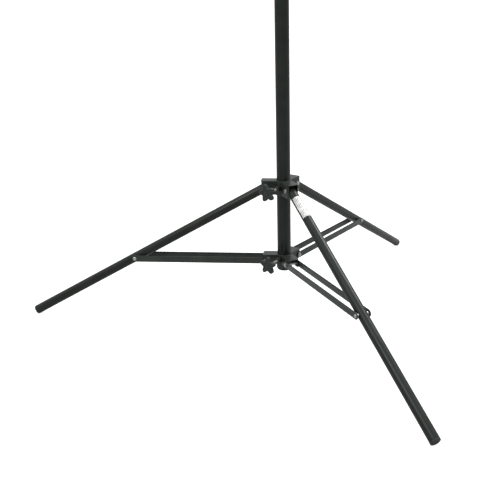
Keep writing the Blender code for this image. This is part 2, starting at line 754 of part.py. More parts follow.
def ropes(mast):
    """The rope: from under the drum, up outside the mast, over the pulley and down between the tubes."""
    drum = (DRUM_X, DRUM_Z)
    route = arc(drum, DRUM_ROPE_R, 270, 180, 7)
    route += arc((PULLEY_X, PULLEY_Z), PULLEY_ROPE_R, 0, 180, 13)
    points = [(x, 0, z) for x, z in route]
    place(wire_mesh("rope_outer_run", points, ROPE_R), "rope_outer_run", mast, ROPE)
    start = PULLEY_Z - FIT
    end = MIDDLE_FOOT_Z - FIT - GLIDE_LIP + GLIDE_HEIGHT + FIT
    rod("rope_inner_run", ROPE_R, end, start, mast, ROPE, steps=8, at=(ROPE_INSIDE_X, 0, 0))


def winch(mast):
    home = frame("winch_frame_origin", mast, (DRUM_X, 0, DRUM_Z))
    winch_bracket(home)
    spin = frame("winch_axle_frame", home, turn=(-90, 0, 0))
    drum_half = DRUM_HALF_WIDTH
    bore = SHAFT_OD / 2 + FIT
    points = [
        (DRUM_FLANGE_R, drum_half),
        (DRUM_FLANGE_R, drum_half - DRUM_FLANGE),
        (DRUM_R, drum_half - DRUM_FLANGE),
        (DRUM_R, -drum_half + DRUM_FLANGE),
        (DRUM_FLANGE_R, -drum_half + DRUM_FLANGE),
        (DRUM_FLANGE_R, -drum_half),
        (bore, -drum_half),
        (bore, drum_half),
    ]
    turned("winch_drum", points, spin, ZINC, closed=True, steps=TUBE_STEPS)
    windings(spin)
    shaft(spin)
    ratchet(home)
    crank(home)


def windings(spin):
    """The turns left on the drum when the mast is down, as one ridged ring beside the running rope."""
    low = ROPE_R + FIT
    crest = DRUM_ROPE_R + ROPE_R
    valley = crest - ROPE_R * 0.7
    high = low + ROPE_OD * ROPE_TURNS
    outer = [(valley, high)]
    for index in range(ROPE_TURNS):
        outer.append((crest, high - ROPE_OD * (index + 0.5)))
        outer.append((valley, high - ROPE_OD * (index + 1)))
    inner = [(DRUM_R + FIT, low), (DRUM_R + FIT, high)]
    turned("rope_windings", outer + inner, spin, ROPE, closed=True, steps=TUBE_STEPS)


def shaft(spin):
    """The shaft through the side plates: a flange outside the plain side, the crank's end on the other."""
    far = WINCH_HALF_WIDTH + FIT
    crank_face = CRANK_OUT + CRANK_THICK + FIT
    points = [
        (0, far + SHAFT_FLANGE),
        (SHAFT_FLANGE_OD / 2, far + SHAFT_FLANGE),
        (SHAFT_FLANGE_OD / 2, far),
        (SHAFT_OD / 2, far),
        (SHAFT_OD / 2, -crank_face),
        (SHAFT_FLANGE_OD / 2, -crank_face),
        (SHAFT_FLANGE_OD / 2, -crank_face - SHAFT_FLANGE),
        (0, -crank_face - SHAFT_FLANGE),
    ]
    turned("winch_shaft", points, spin, ZINC)


def ratchet(home):
    """The toothed wheel beside the drum, and the pawl drawn just clear of its teeth."""
    pitch = 360 / RATCHET_TEETH
    outline = []
    for tooth in range(RATCHET_TEETH):
        angle = math.radians(tooth * pitch)
        for radius in (RATCHET_ROOT_R, RATCHET_TIP_R):
            outline.append((radius * math.cos(angle), radius * math.sin(angle)))
    middle = DRUM_HALF_WIDTH + FIT + RATCHET_THICK / 2
    loops = [outline, circle((0, 0), SHAFT_OD / 2 + FIT)]
    mesh = plate_mesh("ratchet_wheel", loops, RATCHET_THICK)
    place(mesh, "ratchet_wheel", home, ZINC, (0, middle, 0), (90, 0, 0))
    eye = PAWL_PIVOT
    tip = (eye[0] - PAWL_REACH, eye[1] - (eye[1] - RATCHET_TIP_R - PAWL_TIP_R - FIT))
    hinge = frame("pawl_hinge", home, (eye[0], middle, eye[1]))
    shifted = (tip[0] - eye[0], tip[1] - eye[1])
    loops = [slot((0, 0), shifted, PAWL_EYE_R, PAWL_TIP_R), circle((0, 0), PAWL_PIN / 2 + HOLE)]
    mesh = plate_mesh("ratchet_pawl", loops, RATCHET_THICK)
    place(mesh, "ratchet_pawl", hinge, ZINC, (0, 0, 0), (90, 0, 0))
    head = PAWL_PIN_HEAD
    near = RATCHET_THICK / 2 + FIT
    far = WINCH_HALF_WIDTH - middle + FIT
    points = [
        (0, far + head),
        (PAWL_PIN * 0.9, far + head),
        (PAWL_PIN * 0.9, far),
        (PAWL_PIN / 2, far),
        (PAWL_PIN / 2, -near),
        (PAWL_PIN * 0.8, -near),
        (PAWL_PIN * 0.8, -near - head / 2),
        (0, -near - head / 2),
    ]
    turned("pawl_pin", points, hinge, ZINC, turn=(-90, 0, 0))


def winch_bracket(home):
    """A channel folded round the drum, held to the mast by two U bolts."""
    back = OUTER_R + FIT - DRUM_X
    front = WINCH_FRONT
    half = WINCH_HALF_HEIGHT
    corner = half * 0.55
    outline = [(back, -half)]
    outline += arc((front - corner, -half + corner), corner, 270, 360, 7)
    outline += arc((front - corner, half - corner), corner, 0, 90, 7)
    outline.append((back, half))
    loops = [outline, circle((0, 0), SHAFT_OD / 2 + RUN)]
    mesh = plate_mesh("winch_bracket", loops, 2 * WINCH_HALF_WIDTH)
    body = place(mesh, "winch_bracket", home, CAST, turn=(90, 0, 0))
    inside = WINCH_HALF_WIDTH - WINCH_PLATE
    low = (back + WINCH_BACK, -inside, -2 * half)
    hollow = block("winch_hollow", low, (2 * front, inside, 2 * half), home)
    pin = rod("winch_pawl_hole", PAWL_PIN / 2 + HOLE, -2 * inside, 0, home,
              at=(PAWL_PIVOT[0], 0, PAWL_PIVOT[1]), turn=(90, 0, 0))
    cut(body, hollow, pin)
    for label, sign in (("upper", 1), ("lower", -1)):
        u_bolt(label, sign, home, body, back)


def u_bolt(label, sign, home, bracket, back):
    radius = OUTER_R + U_BOLT_ROD / 2 + 2 * FIT
    height = sign * U_BOLT_SPREAD
    nut = U_BOLT_ROD * 0.8
    end = back + WINCH_BACK + FIT + nut + U_BOLT_TAIL
    bend = arc((-DRUM_X, 0), radius, 90, 270, 13)
    route = [(end, radius)] + bend + [(end, -radius)]
    points = [(x, y, height) for x, y in route]
    name = f"u_bolt_{label}"
    rod_mesh = wire_mesh(name, points, U_BOLT_ROD / 2)
    body = place(rod_mesh, name, home, ZINC)
    for side in (-1, 1):
        spot = (back + WINCH_BACK + FIT + nut / 2, side * radius, height)
        mesh = plate_mesh(f"{name}_nut", [hexagon(U_BOLT_ROD * 1.65)], nut)
        join(body, place(mesh, f"{name}_nut", home, at=spot, turn=(0, 90, 0)))
        spot = (0, side * radius, height)
        hole = rod(f"{name}_hole", U_BOLT_ROD / 2 + HOLE, 2 * back, 0, home, at=spot, turn=(0, 90, 0))
        cut(bracket, hole)


def crank(home):
    """The crank arm on the shaft's end, hanging straight down, with a free-turning grip."""
    middle = -(CRANK_OUT + CRANK_THICK / 2)
    end = (0, -CRANK_RADIUS)
    half = CRANK_WIDTH / 2
    loops = [
        slot((0, 0), end, half, half),
        circle((0, 0), SHAFT_OD / 2 + FIT),
        circle(end, GRIP_BOLT / 2 + HOLE),
    ]
    mesh = plate_mesh("crank_arm", loops, CRANK_THICK)
    place(mesh, "crank_arm", home, CAST, (0, middle, 0), (90, 0, 0))
    grip_frame = frame("crank_grip_frame", home, (0, 0, -CRANK_RADIUS), (90, 0, 0))
    near = CRANK_OUT + CRANK_THICK + 2 * FIT
    far = near + GRIP_LENGTH
    bore = GRIP_BOLT / 2 + HOLE
    waist = GRIP_R * 0.86
    points = [
        (GRIP_R * 0.8, far),
        (GRIP_R, far - GRIP_EDGE),
        (GRIP_R, far - GRIP_BAND),
        (waist, far - GRIP_LENGTH / 2),
        (GRIP_R, near + GRIP_BAND),
        (GRIP_R, near + GRIP_EDGE),
        (GRIP_R * 0.8, near),
        (bore, near),
        (bore, far),
    ]
    turned("crank_grip", points, grip_frame, PLASTIC, closed=True, steps=LEG_STEPS)
    head = GRIP_BOLT_HEAD
    flange = GRIP_BOLT * 0.85
    inner = CRANK_OUT - FIT
    points = [
        (0, far + FIT + head),
        (flange, far + FIT + head),
        (flange, far + FIT),
        (GRIP_BOLT / 2, far + FIT),
        (GRIP_BOLT / 2, inner),
        (flange, inner),
        (flange, inner - head),
        (0, inner - head),
    ]
    turned("crank_grip_bolt", points, grip_frame, ZINC)


# ---------------------------------------------------------------- build

def centre_on_footprint():
    """Moves the stand so that the middle of its box is over the origin."""
    bpy.context.view_layer.update()
    graph = bpy.context.evaluated_depsgraph_get()
    low = [math.inf, math.inf]
    high = [-math.inf, -math.inf]
    for obj in PARTS.objects:
        if obj.type != "MESH":
            continue
        solid = obj.evaluated_get(graph)
        mesh = solid.to_mesh()
        for vertex in mesh.vertices:
            spot = solid.matrix_world @ vertex.co
            for axis in (0, 1):
                low[axis] = min(low[axis], spot[axis])
                high[axis] = max(high[axis], spot[axis])
        solid.to_mesh_clear()
    BASE.location.x -= (low[0] + high[0]) / 2
    BASE.location.y -= (low[1] + high[1]) / 2
    bpy.context.view_layer.update()


clear_scene()
PARTS = collection("crank_lighting_stand", True)
CUTTERS = collection("cutters", False)
PAINT = material("black_paint", (0.020, 0.022, 0.020), 0.42, 0.0)
CAST = material("black_casting", (0.026, 0.028, 0.026), 0.50, 0.0)
PLASTIC = material("black_plastic", (0.016, 0.018, 0.017), 0.45, 0.0)
RUBBER = material("black_end_plug", (0.030, 0.032, 0.031), 0.60, 0.0)
ZINC = material("zinc_plated_steel", (0.62, 0.62, 0.60), 0.30, 1.0)
NYLON = material("white_nylon", (0.70, 0.69, 0.65), 0.50, 0.0)
ROPE = material("wire_rope", (0.40, 0.40, 0.39), 0.40, 1.0)

BASE = frame("stand_base")
collar("upper_collar", LEG_PIVOT_Z, UPPER_TOP, UPPER_CHEEK_DROP, UPPER_SLEEVE_DROP,
       LEG_PIVOT_R + UPPER_REACH, LEG_R + LEG_SIDE_GAP, LEG_PIVOT_R, UPPER_KNOB_RISE)
LOWER_INNER_HALF = BRACE_OFFSET - BRACE_THICK / 2 - BRACE_SIDE_GAP - CHANNEL_WALL
collar("lower_collar", BRACE_PIVOT_Z, LOWER_TOP, LOWER_CHEEK_DROP, LOWER_SLEEVE_DROP,
       BRACE_PIVOT_R + LOWER_REACH, LOWER_INNER_HALF, BRACE_PIVOT_R, LOWER_KNOB_RISE)
knob("upper_collar_knob", BASE, LEG_PIVOT_Z + UPPER_KNOB_RISE, OUTER_R + FIT, KNOB_FACE_R, 1.0, SCREW_OD)
knob("lower_collar_knob", BASE, BRACE_PIVOT_Z + LOWER_KNOB_RISE, OUTER_R + FIT, KNOB_FACE_R, 1.0, SCREW_OD)
for leg_side, leg_azimuth in LEG_AZIMUTHS.items():
    leg(leg_side, leg_azimuth)
    brace(leg_side, leg_azimuth)
MAST = outer_stage()
MIDDLE = middle_stage(MAST)
inner_stage(MIDDLE)
ropes(MAST)
winch(MAST)
centre_on_footprint()
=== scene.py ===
# %% [markdown]
# # A wind-up lighting stand
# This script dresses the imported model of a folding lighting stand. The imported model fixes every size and
# place, so the script measures it first and then builds a finer piece over each of its solids. Every fine
# piece rides on the same body as the solid that it stands for, so the stand still folds and winds up.

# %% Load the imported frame
import json
import math

import bmesh
import bpy
from mathutils import Matrix, Vector

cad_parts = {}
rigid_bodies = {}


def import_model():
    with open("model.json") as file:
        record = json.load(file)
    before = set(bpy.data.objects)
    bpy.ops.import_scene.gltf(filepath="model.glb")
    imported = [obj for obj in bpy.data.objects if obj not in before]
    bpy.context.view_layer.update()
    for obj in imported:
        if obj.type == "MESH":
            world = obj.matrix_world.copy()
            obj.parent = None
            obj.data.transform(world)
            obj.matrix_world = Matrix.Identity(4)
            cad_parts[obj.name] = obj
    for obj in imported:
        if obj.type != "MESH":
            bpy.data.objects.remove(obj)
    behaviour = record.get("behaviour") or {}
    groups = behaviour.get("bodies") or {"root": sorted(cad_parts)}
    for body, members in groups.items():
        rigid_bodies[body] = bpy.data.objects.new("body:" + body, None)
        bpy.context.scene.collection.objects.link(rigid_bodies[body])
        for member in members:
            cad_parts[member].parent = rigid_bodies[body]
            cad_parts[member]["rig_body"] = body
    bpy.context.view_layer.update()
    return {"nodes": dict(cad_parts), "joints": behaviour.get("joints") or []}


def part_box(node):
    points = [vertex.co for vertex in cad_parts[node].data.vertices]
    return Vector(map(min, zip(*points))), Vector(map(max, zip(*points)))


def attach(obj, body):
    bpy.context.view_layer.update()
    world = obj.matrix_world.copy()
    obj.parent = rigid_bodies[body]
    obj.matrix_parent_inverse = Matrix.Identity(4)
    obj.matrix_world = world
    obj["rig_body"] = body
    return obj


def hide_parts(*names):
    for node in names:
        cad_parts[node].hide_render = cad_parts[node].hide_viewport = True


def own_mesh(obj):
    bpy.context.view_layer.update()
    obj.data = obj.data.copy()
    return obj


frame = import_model()

# %% [markdown]
# ## Measuring the frame
# Each node's mesh is already in its place, so its extent along any direction is a dot product away. The
# joints say where the pieces turn. Everything below is worked out from these measures and a few stock sizes.

# %% Measuring helpers
SIDES = ("left", "rear", "front")
JOINTS = {joint["name"]: joint for joint in frame["joints"]}
UP = Vector((0, 0, 1))
LAID_OVER = Matrix.Rotation(math.radians(90), 4, "X")


def centre(node):
    low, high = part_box(node)
    return (low + high) / 2


def span(node, origin, direction):
    """The lowest and highest reach of a node along a direction from an origin."""
    reach = [(vertex.co - origin).dot(direction) for vertex in frame["nodes"][node].data.vertices]
    return min(reach), max(reach)


def aimed(origin, z_axis, x_axis):
    """A place whose Z runs along z_axis and whose X is as near x_axis as it can be."""
    z_axis = z_axis.normalized()
    y_axis = z_axis.cross(x_axis).normalized()
    x_axis = y_axis.cross(z_axis)
    turn = Matrix((x_axis, y_axis, z_axis)).transposed()
    return Matrix.Translation(origin) @ turn.to_4x4()


COLUMN = centre("outer_mast")
COLUMN.z = 0
MAST_LOW, MAST_HIGH = span("outer_mast", COLUMN, UP)
OUTER_R = span("outer_mast", COLUMN, Vector((1, 0, 0)))[1]
MIDDLE_R = span("middle_mast", COLUMN, Vector((1, 0, 0)))[1]
INNER_R = span("inner_mast", COLUMN, Vector((1, 0, 0)))[1]
LEG_R = span("leg_left", COLUMN, Vector((0, 1, 0)))[1]
LEG_PIVOT_Z = JOINTS["leg_left_turn"]["pos_m"][2]
BRACE_PIVOT_Z = JOINTS["brace_left_turn"]["pos_m"][2]
print("tube radii", [round(r * 1000, 1) for r in (OUTER_R, MIDDLE_R, INNER_R, LEG_R)], "mm")

# %% [markdown]
# ## Camera, floor and light
# The stand is seen from a little above its leg collar through a lens of about 59 mm, off centre, which a
# small shift of the lens does without turning the camera. The floor glows a little, so that it stays pale
# far behind the stand, and the sky that the camera can't see is brighter overhead than at the sides.

# %% Camera
EYE = COLUMN + Vector((0.2016, -2.7506, LEG_PIVOT_Z + 0.7696))
camera_data = bpy.data.cameras.new("camera")
camera_data.sensor_width = 36.0
camera_data.lens = 59.28
camera_data.shift_x = -0.13625
camera_data.shift_y = -0.0705
camera_data.clip_end = 200
camera = bpy.data.objects.new("camera", camera_data)
camera.location = EYE
camera.rotation_euler = (math.radians(90 - 17.03), math.radians(0.1), math.radians(2.52))
bpy.context.scene.collection.objects.link(camera)
bpy.context.scene.camera = camera
bpy.context.scene.view_settings.view_transform = "Standard"


# %% A helper that adds one node to a tree and sets or links its inputs
def add(tree, kind, inputs=None, **settings):
    made = tree.nodes.new(kind)
    for key, value in settings.items():
        setattr(made, key, value)
    for key, value in (inputs or {}).items():
        if isinstance(value, bpy.types.NodeSocket):
            tree.links.new(value, made.inputs[key])
        else:
            made.inputs[key].default_value = value
    return made


def maths(tree, operation, first, second=None):
    values = {0: first} if second is None else {0: first, 1: second}
    return add(tree, "ShaderNodeMath", values, operation=operation).outputs[0]


def vectors(tree, operation, first, second):
    return add(tree, "ShaderNodeVectorMath", {0: first, 1: second}, operation=operation).outputs[0]


# %% Studio light
SKY_TOP = 1.3
SKY_SIDE = 0.42
world = bpy.data.worlds.new("studio")
world.use_nodes = True
bpy.context.scene.world = world
sky = world.node_tree
direction = add(sky, "ShaderNodeTexCoord").outputs["Generated"]
height = add(sky, "ShaderNodeSeparateXYZ", {"Vector": direction}).outputs["Z"]
glow = add(sky, "ShaderNodeMapRange", {"Value": height, "From Min": 0.0, "From Max": 0.8,
                                       "To Min": SKY_SIDE, "To Max": SKY_TOP}).outputs["Result"]
seen = add(sky, "ShaderNodeLightPath").outputs["Is Camera Ray"]
strength = add(sky, "ShaderNodeMix", {"Factor": seen, "A": glow, "B": 1.0}).outputs["Result"]
sky.links.new(strength, sky.nodes["Background"].inputs["Strength"])
sky.nodes["Background"].inputs["Color"].default_value = (1, 1, 1, 1)


def softbox(name, place, target, size, power):
    data = bpy.data.lights.new(name, "AREA")
    data.shape = "DISK"
    data.size = size
    data.energy = power
    lamp = bpy.data.objects.new(name, data)
    lamp.location = place
    lamp.rotation_euler = (Vector(target) - Vector(place)).to_track_quat("-Z", "Y").to_euler()
    bpy.context.scene.collection.objects.link(lamp)


softbox("key_softbox", (-1.6, -2.2, 3.2), (0.1, 0, 0.5), 1.6, 40)
softbox("back_softbox", (1.9, 1.7, 3.4), (0.6, 0.3, 0.3), 1.8, 75)

# %% Floor
FLOOR_SIZE = 160
half = FLOOR_SIZE / 2
floor_mesh = bpy.data.meshes.new("studio_floor")
corners = [(-half, -half, 0), (half, -half, 0), (half, half, 0), (-half, half, 0)]
floor_mesh.from_pydata(corners, [], [(0, 1, 2, 3)])
floor = bpy.data.objects.new("studio_floor", floor_mesh)
bpy.context.scene.collection.objects.link(floor)
floor_look = bpy.data.materials.new("pale_floor")
floor_look.use_nodes = True
floor_tree = floor_look.node_tree
floor_shader = floor_tree.nodes["Principled BSDF"]
for label, value in (("Base Color", (0.45, 0.45, 0.45, 1)), ("Roughness", 0.9), ("Specular IOR Level", 0.0),
                     ("Emission Color", (1, 1, 1, 1))):
    floor_shader.inputs[label].default_value = value
looked_at = add(floor_tree, "ShaderNodeLightPath").outputs["Is Camera Ray"]
pale = add(floor_tree, "ShaderNodeMapRange", {"Value": looked_at, "To Min": 0.06, "To Max": 0.80})
floor_tree.links.new(pale.outputs["Result"], floor_shader.inputs["Emission Strength"])
floor_mesh.materials.append(floor_look)

# %% [markdown]
# ## Shader groups that the finishes share
# A stand that has been in and out of vans shows the same few things on every finish: its edges are rubbed,
# its colour is a little cloudy, dust lies on what faces up, and a fine texture breaks up the gloss. Each is
# a node group with its sizes as inputs, built once. A group puts out masks and heights only, and each
# finish decides what they do.


# %% A helper that starts a shader group
def shader_group(name, inputs, outputs):
    group = bpy.data.node_groups.new(name, "ShaderNodeTree")
    for label, value in inputs.items():
        group.interface.new_socket(label, in_out="INPUT", socket_type="NodeSocketFloat").default_value = value
    for label in outputs:
        group.interface.new_socket(label, in_out="OUTPUT", socket_type="NodeSocketFloat")
    return group, group.nodes.new("NodeGroupInput").outputs, group.nodes.new("NodeGroupOutput").inputs


def per_metre(group, size):
    """One over a size, which is the scale that a texture takes."""
    return maths(group, "DIVIDE", 1.0, size)


def noise(group, vector, scale, detail=3.0, rough=0.55):
    found = add(group, "ShaderNodeTexNoise", {"Vector": vector, "Scale": scale, "Detail": detail,
                                              "Roughness": rough})
    return found.outputs["Fac"]


def remap(tree, value, low, high, to_low=0.0, to_high=1.0):
    return add(tree, "ShaderNodeMapRange", {"Value": value, "From Min": low, "From Max": high,
                                            "To Min": to_low, "To Max": to_high}).outputs["Result"]


def times(tree, first, second):
    return maths(tree, "MULTIPLY", first, second)


# %% Rubbed edges: where the rounded normal leaves the flat one, broken up by a noise
group, given, put = shader_group("rubbed_edges", {"Width": 0.0012, "Break Size": 0.004}, ["Edge"])
soft_normal = add(group, "ShaderNodeBevel", {"Radius": given["Width"]}, samples=4).outputs["Normal"]
flat_normal = add(group, "ShaderNodeNewGeometry").outputs["Normal"]
agree = add(group, "ShaderNodeVectorMath", {0: soft_normal, 1: flat_normal}, operation="DOT_PRODUCT")
turned_away = remap(group, agree.outputs["Value"], 0.97, 0.80)
spot = add(group, "ShaderNodeTexCoord").outputs["Object"]
broken = remap(group, noise(group, spot, per_metre(group, given["Break Size"])), 0.42, 0.62)
group.links.new(times(group, turned_away, broken), put["Edge"])
RUBBED_EDGES = group

# %% Cloudiness and dust
group, given, put = shader_group("cloud_and_dust", {"Cloud Size": 0.06, "Dust Size": 0.003},
                                 ["Cloud", "Dust"])
spot = add(group, "ShaderNodeTexCoord").outputs["Object"]
group.links.new(noise(group, spot, per_metre(group, given["Cloud Size"]), 4.0), put["Cloud"])
facing = add(group, "ShaderNodeSeparateXYZ", {0: add(group, "ShaderNodeNewGeometry").outputs["Normal"]})
lying = remap(group, facing.outputs["Z"], 0.45, 1.0)
specks = remap(group, noise(group, spot, per_metre(group, given["Dust Size"]), 6.0, 0.7), 0.45, 0.75)
group.links.new(times(group, lying, specks), put["Dust"])
CLOUD_AND_DUST = group

# %% Fine texture: the orange peel of powder coat, or the spark finish of a mould
group, given, put = shader_group("fine_texture", {"Size": 0.0012}, ["Height"])
spot = add(group, "ShaderNodeTexCoord").outputs["Object"]
peel = noise(group, spot, per_metre(group, given["Size"]), 2.0, 0.5)
group.links.new(peel, put["Height"])
FINE_TEXTURE = group

# %% Long scratches: a noise drawn out along the piece's own unwrapped length
group, given, put = shader_group("long_scratches", {"Across": 0.0008, "Along": 0.12}, ["Scratch"])
unwrapped = add(group, "ShaderNodeUVMap").outputs["UV"]
stretch = add(group, "ShaderNodeCombineXYZ", {"X": per_metre(group, given["Across"]),
                                              "Y": per_metre(group, given["Along"])}).outputs["Vector"]
drawn = vectors(group, "MULTIPLY", unwrapped, stretch)
fine = noise(group, drawn, 1.0, 2.0, 0.6)
where = remap(group, noise(group, add(group, "ShaderNodeTexCoord").outputs["Object"], 9.0), 0.45, 0.7)
group.links.new(times(group, remap(group, fine, 0.66, 0.74), where), put["Scratch"])
LONG_SCRATCHES = group
print("shader groups", [g.name for g in bpy.data.node_groups if g.bl_idname == "ShaderNodeTree"])


# %% [markdown]
# ## The finishes
# The stand has eight: powder-coated steel tube, the same coat on flat bars and on castings, moulded plastic
# for knobs, a softer plastic for end plugs, bright zinc plate, natural nylon, and galvanised wire rope. The
# bars' copy of the coat has painted light: its colour is lighter, for the light that the flat bars catch. One
# builder makes them, because they differ in values and not in kind. Constants are set on the shader itself.

# %% A helper that places a group in a material
def use(tree, group, **values):
    made = tree.nodes.new("ShaderNodeGroup")
    made.node_tree = group
    for label, value in values.items():
        made.inputs[label.replace("_", " ")].default_value = value
    return made.outputs


def blend_colour(tree, factor, first, second):
    made = add(tree, "ShaderNodeMix", {0: factor}, data_type="RGBA")
    for index, value in ((6, first), (7, second)):
        if isinstance(value, bpy.types.NodeSocket):
            tree.links.new(value, made.inputs[index])
        else:
            made.inputs[index].default_value = (*value, 1)
    return made.outputs[2]


def finish(name, colour, cloud, worn, dusty, rough, shine=0.5, metal=0.0, peel=0.0012, bump=0.15,
           edge=0.0010, wear=0.5, dust=0.25, scratches=0.0):
    """A finish: its colour drifts to cloud, its edges rub through to worn, and dust lies on top."""
    made = bpy.data.materials.new(name)
    made.use_nodes = True
    tree = made.node_tree
    shader = tree.nodes["Principled BSDF"]
    clouds = use(tree, CLOUD_AND_DUST)
    edges = use(tree, RUBBED_EDGES, Width=edge)["Edge"]
    mottle = remap(tree, clouds["Cloud"], 0.35, 0.65)
    shade = blend_colour(tree, mottle, colour, cloud)
    rub = times(tree, edges, wear)
    if scratches:
        marks = use(tree, LONG_SCRATCHES)["Scratch"]
        marks = times(tree, marks, scratches)
        rub = maths(tree, "MAXIMUM", rub, marks)
    shade = blend_colour(tree, rub, shade, worn)
    settled = times(tree, clouds["Dust"], dust)
    shade = blend_colour(tree, settled, shade, dusty)
    tree.links.new(shade, shader.inputs["Base Color"])
    gloss = remap(tree, clouds["Cloud"], 0.3, 0.7, rough - 0.06, rough + 0.08)
    gloss = maths(tree, "ADD", gloss, times(tree, settled, 0.4))
    tree.links.new(gloss, shader.inputs["Roughness"])
    texture = use(tree, FINE_TEXTURE, Size=peel)["Height"]
    relief = add(tree, "ShaderNodeBump", {"Height": texture, "Strength": bump, "Distance": peel * 0.12})
    tree.links.new(relief.outputs["Normal"], shader.inputs["Normal"])
    shader.inputs["Metallic"].default_value = metal
    shader.inputs["Specular IOR Level"].default_value = shine
    return made


# %% The finishes
TUBE_PAINT = finish("powder_coated_tube", (0.0066, 0.0095, 0.0074), (0.0112, 0.0152, 0.0122),
                    (0.10, 0.11, 0.10), (0.15, 0.16, 0.14), 0.33, shine=0.25, scratches=0.22, dust=0.08)
# The bars' coat is the tube's powder coat with painted light: a lighter colour, for the light that the flat
# bars catch.
BAR_COAT_PAINTED_LIGHTER = finish("powder_coated_bar_painted_lighter", (0.0150, 0.0208, 0.0176), (0.0240, 0.0315, 0.0270),
                   (0.14, 0.15, 0.14), (0.15, 0.16, 0.14), 0.34, shine=0.34, wear=0.6, dust=0.10)
CAST_PAINT = finish("powder_coated_casting", (0.0100, 0.0142, 0.0115), (0.0185, 0.0245, 0.0205),
                    (0.16, 0.17, 0.16), (0.13, 0.14, 0.13), 0.34, shine=0.36, peel=0.0016, bump=0.3,
                    wear=0.6, dust=0.12)
KNOB_PLASTIC = finish("moulded_knob_plastic", (0.0130, 0.0178, 0.0160), (0.0190, 0.0250, 0.0226),
                      (0.06, 0.065, 0.06), (0.13, 0.14, 0.13), 0.42, shine=0.32, peel=0.0005, bump=0.25,
                      wear=0.4, dust=0.08)
PLUG_PLASTIC = finish("end_plug_plastic", (0.018, 0.023, 0.020), (0.028, 0.034, 0.031), (0.09, 0.09, 0.08),
                      (0.18, 0.17, 0.15), 0.55, shine=0.26, peel=0.0007, bump=0.35, wear=0.8, dust=0.2)
ZINC = finish("bright_zinc_plate", (0.46, 0.47, 0.45), (0.36, 0.37, 0.37), (0.62, 0.62, 0.60),
              (0.24, 0.22, 0.20), 0.30, metal=1.0, peel=0.0006, bump=0.12, wear=0.5, dust=0.25)
NYLON = finish("natural_nylon", (0.62, 0.60, 0.54), (0.70, 0.69, 0.64), (0.40, 0.38, 0.34),
               (0.35, 0.32, 0.28), 0.48, peel=0.0006, bump=0.2, wear=0.5, dust=0.3)
WIRE = finish("galvanised_strand", (0.36, 0.36, 0.35), (0.46, 0.46, 0.46), (0.60, 0.60, 0.58),
              (0.20, 0.18, 0.16), 0.36, metal=1.0, peel=0.0004, bump=0.2, wear=0.6, dust=0.4)

# %% [markdown]
# ## Shaping helpers
# Nearly every piece is turned on a lathe or cut from plate, so two helpers do most of the work. The lathe
# rounds the corners of its profile, and unwraps its surface in metres, so that scratches run along it. The
# plate is a flat curve with a little bevel, which rounds its rims without a modifier.


# %% Putting a mesh in the scene, and joining or cutting pieces
def show(name, mesh):
    obj = bpy.data.objects.new(name, mesh)
    bpy.context.scene.collection.objects.link(obj)
    return obj


def apply_modifiers(obj):
    bpy.context.view_layer.update()
    graph = bpy.context.evaluated_depsgraph_get()
    mesh = bpy.data.meshes.new_from_object(obj.evaluated_get(graph))
    obj.modifiers.clear()
    obj.data = mesh
    return obj


def combine(base, others, operation, solver="EXACT"):
    """Unites the others with the base, or takes them from it, and removes them."""
    for other in others:
        step = base.modifiers.new(other.name, "BOOLEAN")
        step.operation = operation
        step.solver = solver
        step.object = other
    apply_modifiers(base)
    for other in others:
        bpy.data.objects.remove(other, do_unlink=True)
    return base


def place_piece(obj, body, look, *nodes, sharp=32):
    """Gives a finished piece its look and its body, and hides the nodes that it stands for."""
    obj.data.materials.clear()
    obj.data.materials.append(look)
    obj.data.shade_smooth()
    obj.data.set_sharp_from_angle(angle=math.radians(sharp))
    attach(obj, body)
    if nodes:
        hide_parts(*nodes)
    return obj


def body_of(node):
    return frame["nodes"][node]["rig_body"]


# %% The lathe
def rounded(points, radius, closed):
    """The profile with each corner eased into a short arc."""
    eased = []
    last = len(points) - 1
    for index, corner in enumerate(points):
        if not closed and index in (0, last):
            eased.append(Vector(corner))
            continue
        corner = Vector(corner)
        back = Vector(points[index - 1]) - corner
        ahead = Vector(points[(index + 1) % len(points)]) - corner
        ease = min(radius, back.length * 0.45, ahead.length * 0.45)
        start = corner + back.normalized() * ease
        end = corner + ahead.normalized() * ease
        for share in (0, 0.25, 0.5, 0.75, 1):
            eased.append(start.lerp(corner, share).lerp(corner.lerp(end, share), share))
    return eased


def lathe(name, points, place, closed=False, ease=0.0005, steps=64):
    """A profile of (radius, height) points turned about the place's Z."""
    profile = rounded(points, ease, closed) if ease else [Vector(p) for p in points]
    count = len(profile)
    runs = count if closed else count - 1
    vertices = []
    first = []
    for radius, high in profile:
        first.append(len(vertices))
        turns = steps if radius > 1e-6 else 1
        for step in range(turns):
            angle = 2 * math.pi * step / steps
            vertices.append((radius * math.cos(angle), radius * math.sin(angle), high))

    def corner(index, step):
        return first[index] + (step % steps if profile[index][0] > 1e-6 else 0)

    lengths = [0.0]
    for index in range(runs):
        lengths.append(lengths[-1] + (profile[(index + 1) % count] - profile[index]).length)
    faces = []
    unwrap = []
    widest = max(radius for radius, high in profile)
    for index in range(runs):
        ahead = (index + 1) % count
        for step in range(steps):
            loop = [(corner(index, step), step, lengths[index]),
                    (corner(ahead, step), step, lengths[index + 1]),
                    (corner(ahead, step + 1), step + 1, lengths[index + 1]),
                    (corner(index, step + 1), step + 1, lengths[index])]
            kept = [part for at, part in enumerate(loop) if part[0] != loop[at - 1][0]]
            if len(kept) < 3:
                continue
            faces.append([part[0] for part in kept])
            unwrap += [(2 * math.pi * widest * part[1] / steps, part[2]) for part in kept]
    mesh = bpy.data.meshes.new(name)
    mesh.from_pydata(vertices, [], faces)
    layer = mesh.uv_layers.new(name="unwrapped")
    for loop, point in zip(layer.data, unwrap):
        loop.uv = point
    mesh.transform(place)
    face_outwards(mesh)
    return show(name, mesh)


def face_outwards(mesh):
    shape = bmesh.new()
    shape.from_mesh(mesh)
    bmesh.ops.remove_doubles(shape, verts=shape.verts, dist=0.0000005)
    bmesh.ops.recalc_face_normals(shape, faces=shape.faces)
    shape.to_mesh(mesh)
    shape.free()


